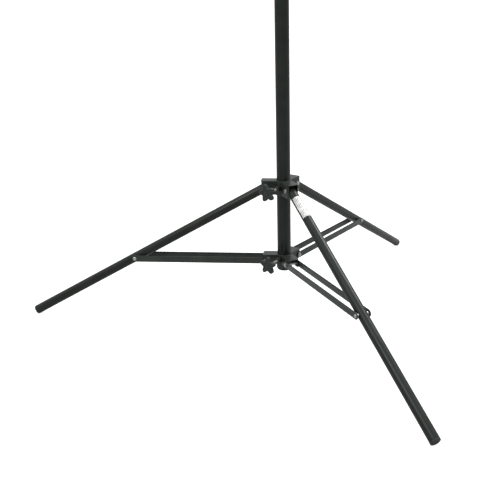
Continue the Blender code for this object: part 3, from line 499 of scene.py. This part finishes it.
def tube(name, outer, inner, low, high, place, steps=96, ease=0.0004):
    points = [(outer, high), (outer, low), (inner, low), (inner, high)]
    return lathe(name, points, place, closed=True, ease=ease, steps=steps)


def rod(name, radius, low, high, place, steps=48, ease=0.0004):
    return lathe(name, [(0, high), (radius, high), (radius, low), (0, low)], place, ease=ease, steps=steps)


# %% The plate
def arc(centre_point, radius, start, end, count):
    found = []
    for index in range(count):
        angle = math.radians(start + (end - start) * index / (count - 1))
        found.append((centre_point[0] + radius * math.cos(angle), centre_point[1] + radius * math.sin(angle)))
    return found


def circle(centre_point, radius, count=32):
    return arc(centre_point, radius, 0, 360 * (count - 1) / count, count)


def plate(name, loops, thickness, place, ease=0.0006):
    """A flat plate about the place's XY plane; its first loop is the outline and the others are holes."""
    curve = bpy.data.curves.new(name, "CURVE")
    curve.dimensions = "2D"
    curve.fill_mode = "BOTH"
    curve.extrude = thickness / 2 - ease
    curve.bevel_depth = ease
    curve.bevel_resolution = 2
    curve.offset = -ease
    for loop in loops:
        spline = curve.splines.new("POLY")
        spline.points.add(len(loop) - 1)
        for spot_on, point in zip(spline.points, loop):
            spot_on.co = (*point, 0, 1)
        spline.use_cyclic_u = True
    source = show(name, curve)
    bpy.context.view_layer.update()
    graph = bpy.context.evaluated_depsgraph_get()
    mesh = bpy.data.meshes.new_from_object(source.evaluated_get(graph))
    bpy.data.objects.remove(source, do_unlink=True)
    face_outwards(mesh)
    mesh.transform(place)
    return show(name, mesh)


# %% A softened copy, for small pieces whose shape is already right
def softened(name, node, width):
    """The node's own shape, merged, with every sharp edge rounded to a width."""
    mesh = frame["nodes"][node].data.copy()
    shape = bmesh.new()
    shape.from_mesh(mesh)
    bmesh.ops.remove_doubles(shape, verts=shape.verts, dist=0.00001)
    bmesh.ops.dissolve_limit(shape, angle_limit=math.radians(0.5), verts=shape.verts, edges=shape.edges)
    shape.to_mesh(mesh)
    shape.free()
    obj = show(name, mesh)
    edge = obj.modifiers.new("Soften", "BEVEL")
    edge.width = width
    edge.segments = 2
    edge.limit_method = "ANGLE"
    edge.angle_limit = math.radians(40)
    return apply_modifiers(obj)


# %% [markdown]
# ## The legs
# Each leg is a 34 mm steel tube with the cut ends eased. It is drilled twice: for its pivot bolt, and for
# the bush that the brace bars turn on. A plug is pushed into its foot, and the plug's lowest corner is worn
# flat on the floor.

# %% Where each leg runs
LEG_WALL = 0.0015
PIVOT_BOLT = 0.008
BUSH_HOLE_R = 0.0073


def leg_place(side):
    """The leg's own frame: Z down the leg from its pivot, Y across it, X up off its top."""
    joint = JOINTS[f"leg_{side}_turn"]
    pivot = Vector(joint["pos_m"])
    down = (centre(f"brace_bush_{side}") - pivot).normalized()
    return aimed(pivot, down, down.cross(Vector(joint["axis"])))


LEG_PLACES = {side: leg_place(side) for side in SIDES}
LEG_TO_BRACE = (centre("brace_bush_left") - Vector(JOINTS["leg_left_turn"]["pos_m"])).length
print("leg pivot to brace", round(LEG_TO_BRACE * 1000, 1), "mm")


# %% The tubes and their holes
def crosswise(place, along):
    """A place that looks across the leg, at a distance along it."""
    return place @ Matrix.Translation((0, 0, along)) @ LAID_OVER


for side in SIDES:
    place = LEG_PLACES[side]
    down = place.to_3x3().col[2]
    low, high = span(f"leg_{side}", place.translation, down)
    leg_tube = tube(f"leg_tube_{side}", LEG_R, LEG_R - LEG_WALL, low, high, place, steps=72)
    drill = [rod("pivot_drill", PIVOT_BOLT / 2 + 0.0003, -0.03, 0.03, crosswise(place, 0), ease=0),
             rod("bush_drill", BUSH_HOLE_R, -0.03, 0.03, crosswise(place, LEG_TO_BRACE), ease=0)]
    combine(leg_tube, drill, "DIFFERENCE")
    place_piece(leg_tube, f"leg_{side}", TUBE_PAINT, f"leg_{side}")
print("leg tube", len(leg_tube.data.polygons), "faces")

# %% The foot plugs
PLUG_DOME = 0.0022
for side in SIDES:
    place = LEG_PLACES[side]
    down = place.to_3x3().col[2]
    low, high = span(f"foot_{side}", place.translation, down)
    rim = low + 0.022
    spigot = LEG_R - LEG_WALL - 0.0003
    points = [(0, high - 0.0012), (0.006, high - 0.0012), (0.0068, high - 0.0003),
              (LEG_R * 0.62, high - 0.0003), (LEG_R * 0.88, high - PLUG_DOME * 0.37),
              (LEG_R, high - PLUG_DOME), (LEG_R, rim + 0.0016),
              (LEG_R - 0.0006, rim + 0.0012), (LEG_R - 0.0006, rim), (spigot, rim), (spigot, low),
              (spigot - 0.0025, low), (spigot - 0.0025, rim + 0.0025), (0, rim + 0.0025)]
    plug = lathe(f"foot_plug_{side}", points, place, ease=0.0005, steps=72)
    shape = bmesh.new()
    shape.from_mesh(plug.data)
    everything = shape.verts[:] + shape.edges[:] + shape.faces[:]
    bmesh.ops.bisect_plane(shape, geom=everything, plane_co=(0, 0, 0.00001), plane_no=(0, 0, 1),
                           clear_inner=True)
    bmesh.ops.holes_fill(shape, edges=[edge for edge in shape.edges if edge.is_boundary])
    bmesh.ops.recalc_face_normals(shape, faces=shape.faces)
    shape.to_mesh(plug.data)
    shape.free()
    place_piece(plug, f"leg_{side}", PLUG_PLASTIC, f"foot_{side}")
print("foot plug", len(plug.data.polygons), "faces")

# %% [markdown]
# ## The braces
# Two flat bars run from the lower collar to each leg, one on each side of it. A bush keeps them apart
# through the leg, and the rounded head of a rivet-like bolt shows outside each bar.

# %% Bars, bushes and heads
BAR_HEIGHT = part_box("brace_left_a")[1].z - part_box("brace_left_a")[0].z


def belt(start, end, radius, count=17):
    """The outline round two equal circles on the X axis."""
    return arc(start, radius, 90, 270, count) + arc(end, radius, -90, 90, count)


for side in SIDES:
    joint = JOINTS[f"brace_{side}_turn"]
    pivot = Vector(joint["pos_m"])
    across = Vector(joint["axis"])
    outward = (centre(f"brace_bush_{side}") - pivot).normalized()
    length = (centre(f"brace_bush_{side}") - pivot).length
    for label in ("a", "b"):
        node = f"brace_{side}_{label}"
        low, high = span(node, pivot, across)
        place = aimed(pivot + across * (low + high) / 2, across, outward)
        hole_r = PIVOT_BOLT / 2 + 0.0003
        ends = ((0, 0), (length, 0))
        loops = [belt(*ends, BAR_HEIGHT / 2)] + [circle(end, hole_r) for end in ends]
        bar = plate(f"brace_bar_{side}_{label}", loops, high - low, place, ease=0.0005)
        # The bars take the copy of the coat that is painted lighter, as painted light.
        place_piece(bar, f"brace_{side}", BAR_COAT_PAINTED_LIGHTER, node)
        low, high = span(f"brace_stud_{side}_{label}", pivot, across)
        outer = across if abs(high) > abs(low) else -across
        reach = max(abs(low), abs(high))
        head_place = aimed(pivot + outward * length + outer * (reach - 0.0035), outer, UP)
        head = lathe(f"brace_rivet_{side}_{label}",
                     [(0, 0.0035), (0.0026, 0.0033), (0.0048, 0.0026), (0.0064, 0.0014), (0.0070, 0.0),
                      (PIVOT_BOLT / 2, 0.0), (PIVOT_BOLT / 2, -0.0026), (0, -0.0026)],
                     head_place, ease=0.0003)
        place_piece(head, f"brace_{side}", ZINC, f"brace_stud_{side}_{label}")
    low, high = span(f"brace_bush_{side}", pivot, across)
    bush_place = aimed(pivot + outward * length, across, UP)
    bush = tube(f"brace_spacer_{side}", 0.007, PIVOT_BOLT / 2 + 0.0003, low, high, bush_place, steps=48)
    place_piece(bush, f"leg_{side}", ZINC, f"brace_bush_{side}")
print("brace bar", len(bar.data.polygons), "faces,", round(length * 1000), "mm between pivots")

# %% [markdown]
# ## The pivot bolts
# Six hex bolts carry the legs and the braces, three round each collar. They repeat at every third of a
# turn, so one bolt is modelled and a Geometry Nodes tree sets three of it round the collar. A hex head is a
# six-sided prism met by a turned shape whose rims are chamfered, as a real head is cut from bar.


# %% One bolt, standing on its own Z
BOLT_FLATS = 0.013


def hexed(name, flats, low, high, place):
    """A hexagonal block with its outer rim chamfered."""
    corner = flats / math.sqrt(3)
    prism = plate(name, [circle((0, 0), corner, 6)], high - low,
                  place @ Matrix.Translation((0, 0, (low + high) / 2)), ease=0.00005)
    rim = corner * 0.86
    chamfer = (corner - rim) * 0.6
    wide = corner * 1.02
    cone = lathe("chamfer", [(0, high), (rim, high), (wide, high - chamfer), (wide, low), (0, low)],
                 place, ease=0, steps=48)
    return combine(prism, [cone], "INTERSECT")


def pivot_bolt(name, half_grip, half_length):
    """A bolt with a washer under its head and another under its locking nut."""
    level = Matrix.Identity(4)
    shank = rod(name, PIVOT_BOLT / 2, -half_length + 0.0008, half_length, level, ease=0.0006)
    washer = 0.0012
    parts = []
    for sign in (-1, 1):
        flip = Matrix.Identity(4) if sign > 0 else Matrix.Rotation(math.pi, 4, "X")
        seat = half_grip + 0.0003
        parts.append(tube("washer", 0.0082, 0.0036, seat, seat + washer, flip, steps=48, ease=0.0003))
        end = half_length if sign < 0 else half_length - 0.0012
        parts.append(hexed("head", BOLT_FLATS, seat + washer - 0.00005, end, flip))
    return combine(shank, parts, "UNION")


# %% The tree that sets three bolts round a collar
def geometry_tree(name, inputs):
    tree = bpy.data.node_groups.new(name, "GeometryNodeTree")
    tree.interface.new_socket("Geometry", in_out="OUTPUT", socket_type="NodeSocketGeometry")
    for label, (kind, value) in inputs.items():
        made = tree.interface.new_socket(label, in_out="INPUT", socket_type=f"NodeSocket{kind}")
        if value is not None:
            made.default_value = value
    given = tree.nodes.new("NodeGroupInput").outputs
    return tree, given


def end_tree(tree, geometry, look):
    """Every tree ends the same way: real geometry, with its finish."""
    real = add(tree, "GeometryNodeRealizeInstances", {"Geometry": geometry}).outputs["Geometry"]
    dressed = add(tree, "GeometryNodeSetMaterial", {"Geometry": real, "Material": look}).outputs["Geometry"]
    tree.links.new(dressed, tree.nodes.new("NodeGroupOutput").inputs["Geometry"])


def grow(name, tree, place=None, **values):
    """Runs a tree on an empty mesh and keeps the result as a plain mesh."""
    holder = show(name, bpy.data.meshes.new(name))
    step = holder.modifiers.new("Grow", "NODES")
    step.node_group = tree
    for item in tree.interface.items_tree:
        if item.in_out == "INPUT" and item.name in values:
            step[item.identifier] = values[item.name]
    apply_modifiers(holder)
    if place:
        holder.data.transform(place)
    return holder


tree, given = geometry_tree("pieces_round_a_collar", {
    "Piece": ("Object", None), "Count": ("Int", 3), "Radius": ("Float", 0.06), "First": ("Float", 0.0),
    "Finish": ("Material", None)})
spots = add(tree, "GeometryNodeMeshCircle", {"Vertices": given["Count"], "Radius": given["Radius"]})
index = add(tree, "GeometryNodeInputIndex").outputs[0]
share = maths(tree, "DIVIDE", index, given["Count"])
turned = maths(tree, "MULTIPLY", share, 2 * math.pi)
heading = add(tree, "ShaderNodeCombineXYZ", {"Z": turned}).outputs[0]
piece = add(tree, "GeometryNodeObjectInfo", {"Object": given["Piece"]}).outputs["Geometry"]
copies = add(tree, "GeometryNodeInstanceOnPoints", {
    "Points": spots.outputs["Mesh"], "Instance": piece, "Rotation": heading}).outputs["Instances"]
aim = add(tree, "ShaderNodeCombineXYZ", {"Z": given["First"]}).outputs[0]
whole = add(tree, "GeometryNodeTransform", {"Geometry": copies, "Rotation": aim}).outputs["Geometry"]
end_tree(tree, whole, given["Finish"])
RING_TREE = tree

# %% Three bolts in each collar
for collar_name, nodes, joint_name in (
        ("leg", [f"leg_bolt_{side}" for side in SIDES], "leg_left_turn"),
        ("brace", [f"brace_bolt_{side}" for side in SIDES], "brace_left_turn")):
    joint = JOINTS[joint_name]
    pivot = Vector(joint["pos_m"])
    across = Vector(joint["axis"])
    half_length = span(nodes[0], pivot, across)[1]
    half_grip = half_length - 0.0056
    bolt = pivot_bolt(f"one_{collar_name}_bolt", half_grip, half_length)
    bolt.data.transform(LAID_OVER)
    reach = (pivot - COLUMN - UP * pivot.z).length
    home = Matrix.Translation(COLUMN + UP * pivot.z)
    made = grow(f"{collar_name}_pivot_bolts", RING_TREE, home, Piece=bolt, Radius=reach,
                First=math.radians(60), Finish=ZINC)
    bpy.data.objects.remove(bolt, do_unlink=True)
    place_piece(made, body_of(nodes[0]), ZINC, *nodes)
    print(made.name, len(made.data.polygons), "faces at radius", round(reach * 1000, 1), "mm")

# %% [markdown]
# ## The two collars
# A collar is a sleeve with three channels. A leg or a pair of bars swings in each channel, and a boss takes
# the clamp screw. Its outline is rounded at the corners where a casting would be. The solids are united
# first and the hollows cut after, so the hollows pass through everything.

# %% The collar builder
CHANNEL_WALL = 0.003
SLIDE_GAP = 0.0004
KNOB_AXIS = Vector(JOINTS["upper_knob_turn"]["axis"])


def side_outline(reach, top, drop, corner):
    """A channel's side view: flat on top, with its outer corners rounded."""
    outline = [(0, -drop)]
    outline += arc((reach - corner, -drop + corner), corner, 270, 360, 9)
    upper = corner * 0.45
    outline += arc((reach - upper, top - upper), upper, 0, 90, 7)
    outline.append((0, top))
    return outline


def build_collar(name, node, pivot_z, reach, inner_half, cheek_drop, pivot_r, boss_z):
    low, high = span(node, COLUMN, UP)
    home = Matrix.Translation(COLUMN + UP * pivot_z)
    top = high - pivot_z - 0.0008
    sleeve_r = OUTER_R + SLIDE_GAP + 0.0032
    body = rod(name, sleeve_r, low - pivot_z, high - pivot_z, home, steps=96, ease=0.0008)
    outer_half = inner_half + CHANNEL_WALL
    plan_r = 0.010
    arms = []
    hollows = []
    for azimuth in (180, 60, 300):
        turn = home @ Matrix.Rotation(math.radians(azimuth), 4, "Z") @ LAID_OVER
        arm = plate("arm", [side_outline(reach, top, cheek_drop, 0.010)], 2 * outer_half, turn, ease=0.0012)
        round_end = arc((reach - plan_r, outer_half - plan_r), plan_r, 90, 0, 8)
        plan = [(-0.01, outer_half + 0.001), (reach - plan_r, outer_half + 0.001), *round_end]
        plan += [(x, -y) for x, y in reversed(plan)]
        flat_turn = home @ Matrix.Rotation(math.radians(azimuth), 4, "Z")
        rounding = plate("rounding", [plan], 0.2, flat_turn, ease=0.00005)
        arms.append(combine(arm, [rounding], "INTERSECT", "MANIFOLD"))
        deep = cheek_drop + 0.06
        hollow = [(sleeve_r + 0.0044, -deep), (2 * reach, -deep), (2 * reach, top - CHANNEL_WALL),
                  (sleeve_r + 0.0044, top - CHANNEL_WALL)]
        hollows.append(plate("hollow", [hollow], 2 * inner_half, turn, ease=0.0004))
        hollows.append(rod("hole", PIVOT_BOLT / 2 + 0.0003, -0.04, 0.04,
                           turn @ Matrix.Translation((pivot_r, 0, 0)), ease=0))
    screw_place = aimed(COLUMN + UP * boss_z, KNOB_AXIS, UP)
    boss = rod("boss", 0.011, OUTER_R, OUTER_R + 0.023, screw_place, steps=64, ease=0.0012)
    combine(body, [*arms, boss], "UNION", "MANIFOLD")
    hollows.append(rod("bore", OUTER_R + SLIDE_GAP, -0.09, 0.09, home, steps=96, ease=0))
    hollows.append(rod("screw_hole", 0.0043, 0, 0.09, screw_place, ease=0))
    combine(body, hollows, "DIFFERENCE", "MANIFOLD")
    return place_piece(body, body_of(node), CAST_PAINT, node)


# %% The upper and lower collars
LEG_PIVOT_R = (Vector(JOINTS["leg_left_turn"]["pos_m"]) - COLUMN - UP * LEG_PIVOT_Z).length
BRACE_PIVOT_R = (Vector(JOINTS["brace_left_turn"]["pos_m"]) - COLUMN - UP * BRACE_PIVOT_Z).length
WEST = Vector((-1, 0, 0))
upper_reach = span("upper_collar", COLUMN, WEST)[1]
lower_reach = span("lower_collar", COLUMN, WEST)[1]
upper = build_collar("leg_collar", "upper_collar", LEG_PIVOT_Z, upper_reach, LEG_R + 0.0008, 0.026,
                     LEG_PIVOT_R, JOINTS["upper_knob_turn"]["pos_m"][2])
lower = build_collar("brace_collar", "lower_collar", BRACE_PIVOT_Z, lower_reach, 0.01905, 0.014,
                     BRACE_PIVOT_R, JOINTS["lower_knob_turn"]["pos_m"][2])
print("collars", len(upper.data.polygons), "and", len(lower.data.polygons), "faces")

# %% [markdown]
# ## The clamp knobs
# A star knob is moulded round the head of its screw. Its outline is a radius that swings five times round,
# its rim is well rounded, and its face is dished round a small cap. The screw's thread is a spiral sweep
# from a Geometry Nodes tree, because it is one shape repeated along a line.

# %% The thread tree
tree, given = geometry_tree("screw_thread", {
    "Radius": ("Float", 0.004), "Pitch": ("Float", 0.00125), "Length": ("Float", 0.05),
    "Depth": ("Float", 0.0006), "Finish": ("Material", None)})
turns = maths(tree, "DIVIDE", given["Length"], given["Pitch"])
spiral = add(tree, "GeometryNodeCurveSpiral", {
    "Resolution": 20, "Rotations": turns, "Start Radius": given["Radius"], "End Radius": given["Radius"],
    "Height": given["Length"]}).outputs["Curve"]
ridge = add(tree, "GeometryNodeCurvePrimitiveCircle", {"Resolution": 4, "Radius": given["Depth"]})
swept = add(tree, "GeometryNodeCurveToMesh", {
    "Curve": spiral, "Profile Curve": ridge.outputs["Curve"], "Fill Caps": True}).outputs["Mesh"]
end_tree(tree, swept, given["Finish"])
THREAD_TREE = tree


# %% The knob builder
def star_outline(tip, valley, lobes=5):
    points = []
    for step in range(22 * lobes):
        angle = 2 * math.pi * step / (22 * lobes)
        swing = (1 + math.cos(lobes * angle)) / 2
        radius = valley + (tip - valley) * swing ** 0.9
        points.append((radius * math.cos(angle), radius * math.sin(angle)))
    return points


STAR_TIP = 0.0325
STAR_VALLEY = 0.0195
STAR_THICK = 0.015
HUB_R = 0.011
HUB_LENGTH = 0.010


def build_knob(name, node, size, screw_r, turned_by):
    joint = JOINTS[name + "_turn"]
    axis = Vector(joint["axis"])
    origin = Vector(joint["pos_m"])
    low, high = span(node, origin, axis)
    place = aimed(origin, axis, UP)
    thick = STAR_THICK * size
    neck = high - thick - HUB_LENGTH * size
    seat = place @ Matrix.Translation((0, 0, high - thick / 2)) @ Matrix.Rotation(turned_by, 4, "Z")
    outline = star_outline(STAR_TIP * size, STAR_VALLEY * size)
    star = plate(f"{name}_star", [outline], thick, seat, ease=0.0032 * size)
    hub = rod("hub", HUB_R * size, neck, high - thick / 2, place, steps=64, ease=0.0008)
    combine(star, [hub], "UNION")
    dish = lathe("dish", [(0, high + 0.002), (0.0150 * size, high + 0.002), (0.0140 * size, high - 0.0016),
                          (0.0095 * size, high - 0.0022), (0.0088 * size, high - 0.0008), (0, high - 0.0008)],
                 place, ease=0.0003, steps=64)
    combine(star, [dish], "DIFFERENCE")
    place_piece(star, name, KNOB_PLASTIC, node)
    shank = rod(f"{name}_screw", screw_r - 0.0007, low, neck + 0.003, place, ease=0.0006)
    place_piece(shank, name, ZINC)
    thread = grow(f"{name}_thread", THREAD_TREE, place @ Matrix.Translation((0, 0, low + 0.001)),
                  Radius=screw_r - 0.0007, Length=neck - low - 0.001, Depth=0.0006, Finish=ZINC)
    place_piece(thread, name, ZINC)
    return star


# %% Four knobs, two sizes
for name, node, size, degrees in (
        ("upper_knob", "upper_collar_knob", 1.0, 16), ("lower_knob", "lower_collar_knob", 1.0, 0),
        ("middle_knob", "middle_collar_knob", 0.72, 0), ("receiver_knob", "receiver_knob", 0.72, 0)):
    star = build_knob(name, node, size, 0.004 * size, math.radians(degrees))
    print(name, len(star.data.polygons), "faces")

# %% [markdown]
# ## The mast
# Three tubes slide in one another. The outer one carries a head that guides the next and holds the rope's
# pulley. The middle one ends in a clamp collar, and the inner one in a socket for a lamp's spigot.

# %% Three tubes
UPRIGHT = Matrix.Translation(COLUMN)
for name, node, radius, wall in (("outer_tube", "outer_mast", OUTER_R, 0.0015),
                                 ("inner_tube", "inner_mast", INNER_R, 0.0020)):
    low, high = span(node, COLUMN, UP)
    made = tube(name, radius, radius - wall, low, high, UPRIGHT)
    place_piece(made, body_of(node), TUBE_PAINT, node)
low, high = span("middle_mast", COLUMN, UP)
middle = tube("middle_tube", MIDDLE_R, MIDDLE_R - 0.0015, low, high, UPRIGHT)
screw_at = aimed(Vector(JOINTS["middle_knob_turn"]["pos_m"]), KNOB_AXIS, UP)
combine(middle, [rod("screw_hole", 0.0032, 0, 0.03, screw_at, ease=0)], "DIFFERENCE")
place_piece(middle, "middle_mast", TUBE_PAINT, "middle_mast")
print("outer tube", round((MAST_HIGH - MAST_LOW) * 1000), "mm long")

# %% The head, the collar and the socket, with their rims eased
for name, node, look, width in (
        ("mast_head_casting", "mast_head", CAST_PAINT, 0.0008),
        ("stage_collar", "middle_collar", CAST_PAINT, 0.0008),
        ("spigot_socket", "receiver_head", CAST_PAINT, 0.0008),
        ("mast_foot_plug", "mast_end_plug", PLUG_PLASTIC, 0.0005),
        ("lower_glide", "middle_glide", NYLON, 0.0005),
        ("upper_glide", "inner_glide", NYLON, 0.0004),
        ("pulley_wheel", "rope_pulley", CAST_PAINT, 0.0002),
        ("pulley_axle", "pulley_pin", ZINC, 0.0003)):
    place_piece(softened(name, node, width), body_of(node), look, node)

# %% [markdown]
# ## The winch
# A folded bracket is held to the mast by two U bolts. The drum, its shaft, the ratchet wheel and the crank
# turn together, and a pawl rests over the wheel.

# %% The winch's pieces
for name, node, look, width in (
        ("winch_frame", "winch_bracket", CAST_PAINT, 0.0006),
        ("rope_drum", "winch_drum", ZINC, 0.0004),
        ("drum_shaft", "winch_shaft", ZINC, 0.0004),
        ("toothed_wheel", "ratchet_wheel", ZINC, 0.0002),
        ("pawl_lever", "ratchet_pawl", ZINC, 0.0002),
        ("pawl_axle", "pawl_pin", ZINC, 0.0003),
        ("u_bolt_top", "u_bolt_upper", ZINC, 0.0003),
        ("u_bolt_bottom", "u_bolt_lower", ZINC, 0.0003),
        ("crank_bar", "crank_arm", CAST_PAINT, 0.0008),
        ("grip_bolt", "crank_grip_bolt", ZINC, 0.0004)):
    place_piece(softened(name, node, width), body_of(node), look, node)

# %% The grip, with finger rings
GRIP_AXIS = Vector(JOINTS["grip_spin"]["axis"])
origin = Vector(JOINTS["grip_spin"]["pos_m"])
low, high = span("crank_grip", origin, -GRIP_AXIS)
length = high - low
profile = [(0.0043, low), (0.0043, high), (0.0100, high), (0.0124, high - 0.003), (0.0130, high - 0.010)]
rings = 9
for ring in range(rings):
    share = ring / (rings - 1)
    at = high - 0.014 - share * (length - 0.028)
    waist = 0.0130 - 0.0018 * math.sin(math.pi * share)
    profile += [(waist, at + 0.0022), (waist - 0.0008, at + 0.0010), (waist - 0.0008, at - 0.0010),
                (waist, at - 0.0022)]
profile += [(0.0130, low + 0.010), (0.0124, low + 0.003), (0.0100, low)]
grip = lathe("crank_handgrip", profile, aimed(origin, -GRIP_AXIS, UP), closed=True, ease=0.0005, steps=64)
place_piece(grip, "grip", KNOB_PLASTIC, "crank_grip")
print("grip", round(length * 1000), "mm long,", len(grip.data.polygons), "faces")

# %% [markdown]
# ## The wire rope
# A wire rope is strands laid round one another. The tree takes the rope's route as a curve, makes a copy
# of it for each strand, and moves each copy sideways by an angle that grows along its length.

# %% The rope tree
tree, given = geometry_tree("laid_rope", {
    "Route": ("Object", None), "Strands": ("Int", 6), "Strand Radius": ("Float", 0.00042),
    "Lay": ("Float", 0.016), "Step": ("Float", 0.0012), "Finish": ("Material", None)})
route = add(tree, "GeometryNodeObjectInfo", {"Object": given["Route"]}).outputs["Geometry"]
even = add(tree, "GeometryNodeResampleCurve", {"Curve": route, "Length": given["Step"]}, mode="LENGTH")
many = add(tree, "GeometryNodeDuplicateElements", {
    "Geometry": even.outputs["Curve"], "Amount": given["Strands"]}, domain="SPLINE")
kept = add(tree, "GeometryNodeCaptureAttribute", {"Geometry": many.outputs["Geometry"]}, domain="POINT")
kept.capture_items.new("INT", "Strand")
tree.links.new(many.outputs["Duplicate Index"], kept.inputs["Strand"])
part = maths(tree, "DIVIDE", kept.outputs["Strand"], given["Strands"])
along = add(tree, "GeometryNodeSplineParameter").outputs["Length"]
laid = maths(tree, "DIVIDE", along, given["Lay"])
turned = maths(tree, "ADD", part, laid)
angle = maths(tree, "MULTIPLY", turned, 2 * math.pi)
cosine = maths(tree, "COSINE", angle)
sine = maths(tree, "SINE", angle)
normal = add(tree, "GeometryNodeInputNormal").outputs["Normal"]
tangent = add(tree, "GeometryNodeInputTangent").outputs["Tangent"]
across = vectors(tree, "CROSS_PRODUCT", tangent, normal)
first = add(tree, "ShaderNodeVectorMath", {0: normal, "Scale": cosine}, operation="SCALE").outputs[0]
second = add(tree, "ShaderNodeVectorMath", {0: across, "Scale": sine}, operation="SCALE").outputs[0]
aside = vectors(tree, "ADD", first, second)
out = maths(tree, "MULTIPLY", given["Strand Radius"], 1.86)
offset = add(tree, "ShaderNodeVectorMath", {0: aside, "Scale": out}, operation="SCALE").outputs[0]
moved = add(tree, "GeometryNodeSetPosition", {"Geometry": kept.outputs["Geometry"], "Offset": offset})
section = add(tree, "GeometryNodeCurvePrimitiveCircle", {
    "Resolution": 7, "Radius": given["Strand Radius"]})
swept = add(tree, "GeometryNodeCurveToMesh", {
    "Curve": moved.outputs["Geometry"], "Profile Curve": section.outputs["Curve"], "Fill Caps": True})
end_tree(tree, swept.outputs["Mesh"], given["Finish"])
ROPE_TREE = tree


# %% Routes, and the rope laid along them
def lay_rope(name, points, node, step=0.0015):
    curve = bpy.data.curves.new(f"{name}_route", "CURVE")
    curve.dimensions = "3D"
    spline = curve.splines.new("POLY")
    spline.points.add(len(points) - 1)
    for spot_on, point in zip(spline.points, points):
        spot_on.co = (*point, 1)
    route_line = show(f"{name}_route", curve)
    made = grow(name, ROPE_TREE, Route=route_line, Step=step, Finish=WIRE)
    bpy.data.objects.remove(route_line, do_unlink=True)
    place_piece(made, body_of(node), WIRE, node, sharp=80)
    print(name, len(made.data.polygons), "faces")
    return made


ROPE_R = 0.0012
drum = Vector(JOINTS["winch_turn"]["pos_m"])
pulley = Vector(JOINTS["pulley_turn"]["pos_m"])
inner_low, inner_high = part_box("rope_inner_run")
inside_x = (inner_low.x + inner_high.x) / 2
PULLEY_ROPE_R = pulley.x - inside_x
DRUM_ROPE_R = drum.x - pulley.x - PULLEY_ROPE_R
route = arc((drum.x, drum.z), DRUM_ROPE_R, 270, 180, 9)
route += arc((pulley.x, pulley.z), PULLEY_ROPE_R, 0, 180, 25)
lay_rope("rope_up_the_mast", [(x, drum.y, z) for x, z in route], "rope_outer_run")
inside_line = [(inside_x, 0, inner_high.z), (inside_x, 0, inner_low.z)]
inside_rope = lay_rope("rope_inside_the_mast", inside_line, "rope_inner_run", 0.004)
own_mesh(inside_rope)
low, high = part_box("rope_windings")
winds = round((high.y - low.y) / (2 * ROPE_R))
turns = []
for step in range(winds * 48 + 1):
    angle = 2 * math.pi * step / 48
    across_drum = low.y + ROPE_R + (high.y - low.y - 2 * ROPE_R) * step / (winds * 48)
    turns.append((drum.x + DRUM_ROPE_R * math.cos(angle), across_drum,
                  drum.z + DRUM_ROPE_R * math.sin(angle)))
lay_rope("rope_on_the_drum", turns, "rope_windings")

# %% [markdown]
# ## The label
# A blank sticker is wrapped round the top of the front leg. Its lines are plain rules, with nothing to read.

# %% The sticker
LABEL_START = 0.048
LABEL_END = 0.144
LABEL_FROM = -62                 # degrees round the tube from its top
LABEL_TO = 76


def label_finish():
    made = bpy.data.materials.new("printed_label_film")
    made.use_nodes = True
    tree = made.node_tree
    shader = tree.nodes["Principled BSDF"]
    unwrapped = add(tree, "ShaderNodeUVMap").outputs["UV"]
    split = add(tree, "ShaderNodeSeparateXYZ", {0: unwrapped}).outputs
    rows = maths(tree, "MULTIPLY", split["X"], 175.0)
    beat = maths(tree, "FRACT", rows)
    rule = remap(tree, beat, 0.58, 0.64)
    drawn = vectors(tree, "MULTIPLY", unwrapped, (30.0, 110.0, 1.0))
    gaps = noise(tree, drawn, 1.0, 1.0)
    ink = times(tree, rule, remap(tree, gaps, 0.46, 0.50))
    grime = use(tree, CLOUD_AND_DUST, Cloud_Size=0.012)
    film = blend_colour(tree, remap(tree, grime["Cloud"], 0.4, 0.7), (0.80, 0.80, 0.78), (0.62, 0.61, 0.58))
    printed = blend_colour(tree, times(tree, ink, 0.85), film, (0.07, 0.08, 0.09))
    tree.links.new(printed, shader.inputs["Base Color"])
    tree.links.new(remap(tree, grime["Cloud"], 0.3, 0.7, 0.30, 0.46), shader.inputs["Roughness"])
    ripple = noise(tree, unwrapped, 90.0, 2.0)
    relief = add(tree, "ShaderNodeBump", {"Height": ripple, "Strength": 0.2, "Distance": 0.0002})
    tree.links.new(relief.outputs["Normal"], shader.inputs["Normal"])
    return made


def build_label():
    place = LEG_PLACES["front"]
    radius = LEG_R + 0.00025
    across = 28
    down = 24
    points = []
    for row in range(down + 1):
        at = LABEL_START + (LABEL_END - LABEL_START) * row / down
        for column in range(across + 1):
            angle = math.radians(LABEL_FROM + (LABEL_TO - LABEL_FROM) * column / across)
            points.append((radius * math.cos(angle), radius * math.sin(angle), at))
    faces = []
    for row in range(down):
        for column in range(across):
            start = row * (across + 1) + column
            faces.append((start, start + 1, start + across + 2, start + across + 1))
    mesh = bpy.data.meshes.new("leg_label")
    mesh.from_pydata(points, [], faces)
    layer = mesh.uv_layers.new(name="unwrapped")
    for loop, corner in zip(layer.data, mesh.loops):
        point = points[corner.vertex_index]
        loop.uv = (math.atan2(point[1], point[0]) * radius, point[2])
    mesh.transform(place)
    label = show("leg_label", mesh)
    thick = label.modifiers.new("Film", "SOLIDIFY")
    thick.thickness = 0.00018
    thick.offset = 0
    apply_modifiers(label)
    return place_piece(label, "leg_front", label_finish())


build_label()
print("label", round((LABEL_END - LABEL_START) * 1000), "mm long")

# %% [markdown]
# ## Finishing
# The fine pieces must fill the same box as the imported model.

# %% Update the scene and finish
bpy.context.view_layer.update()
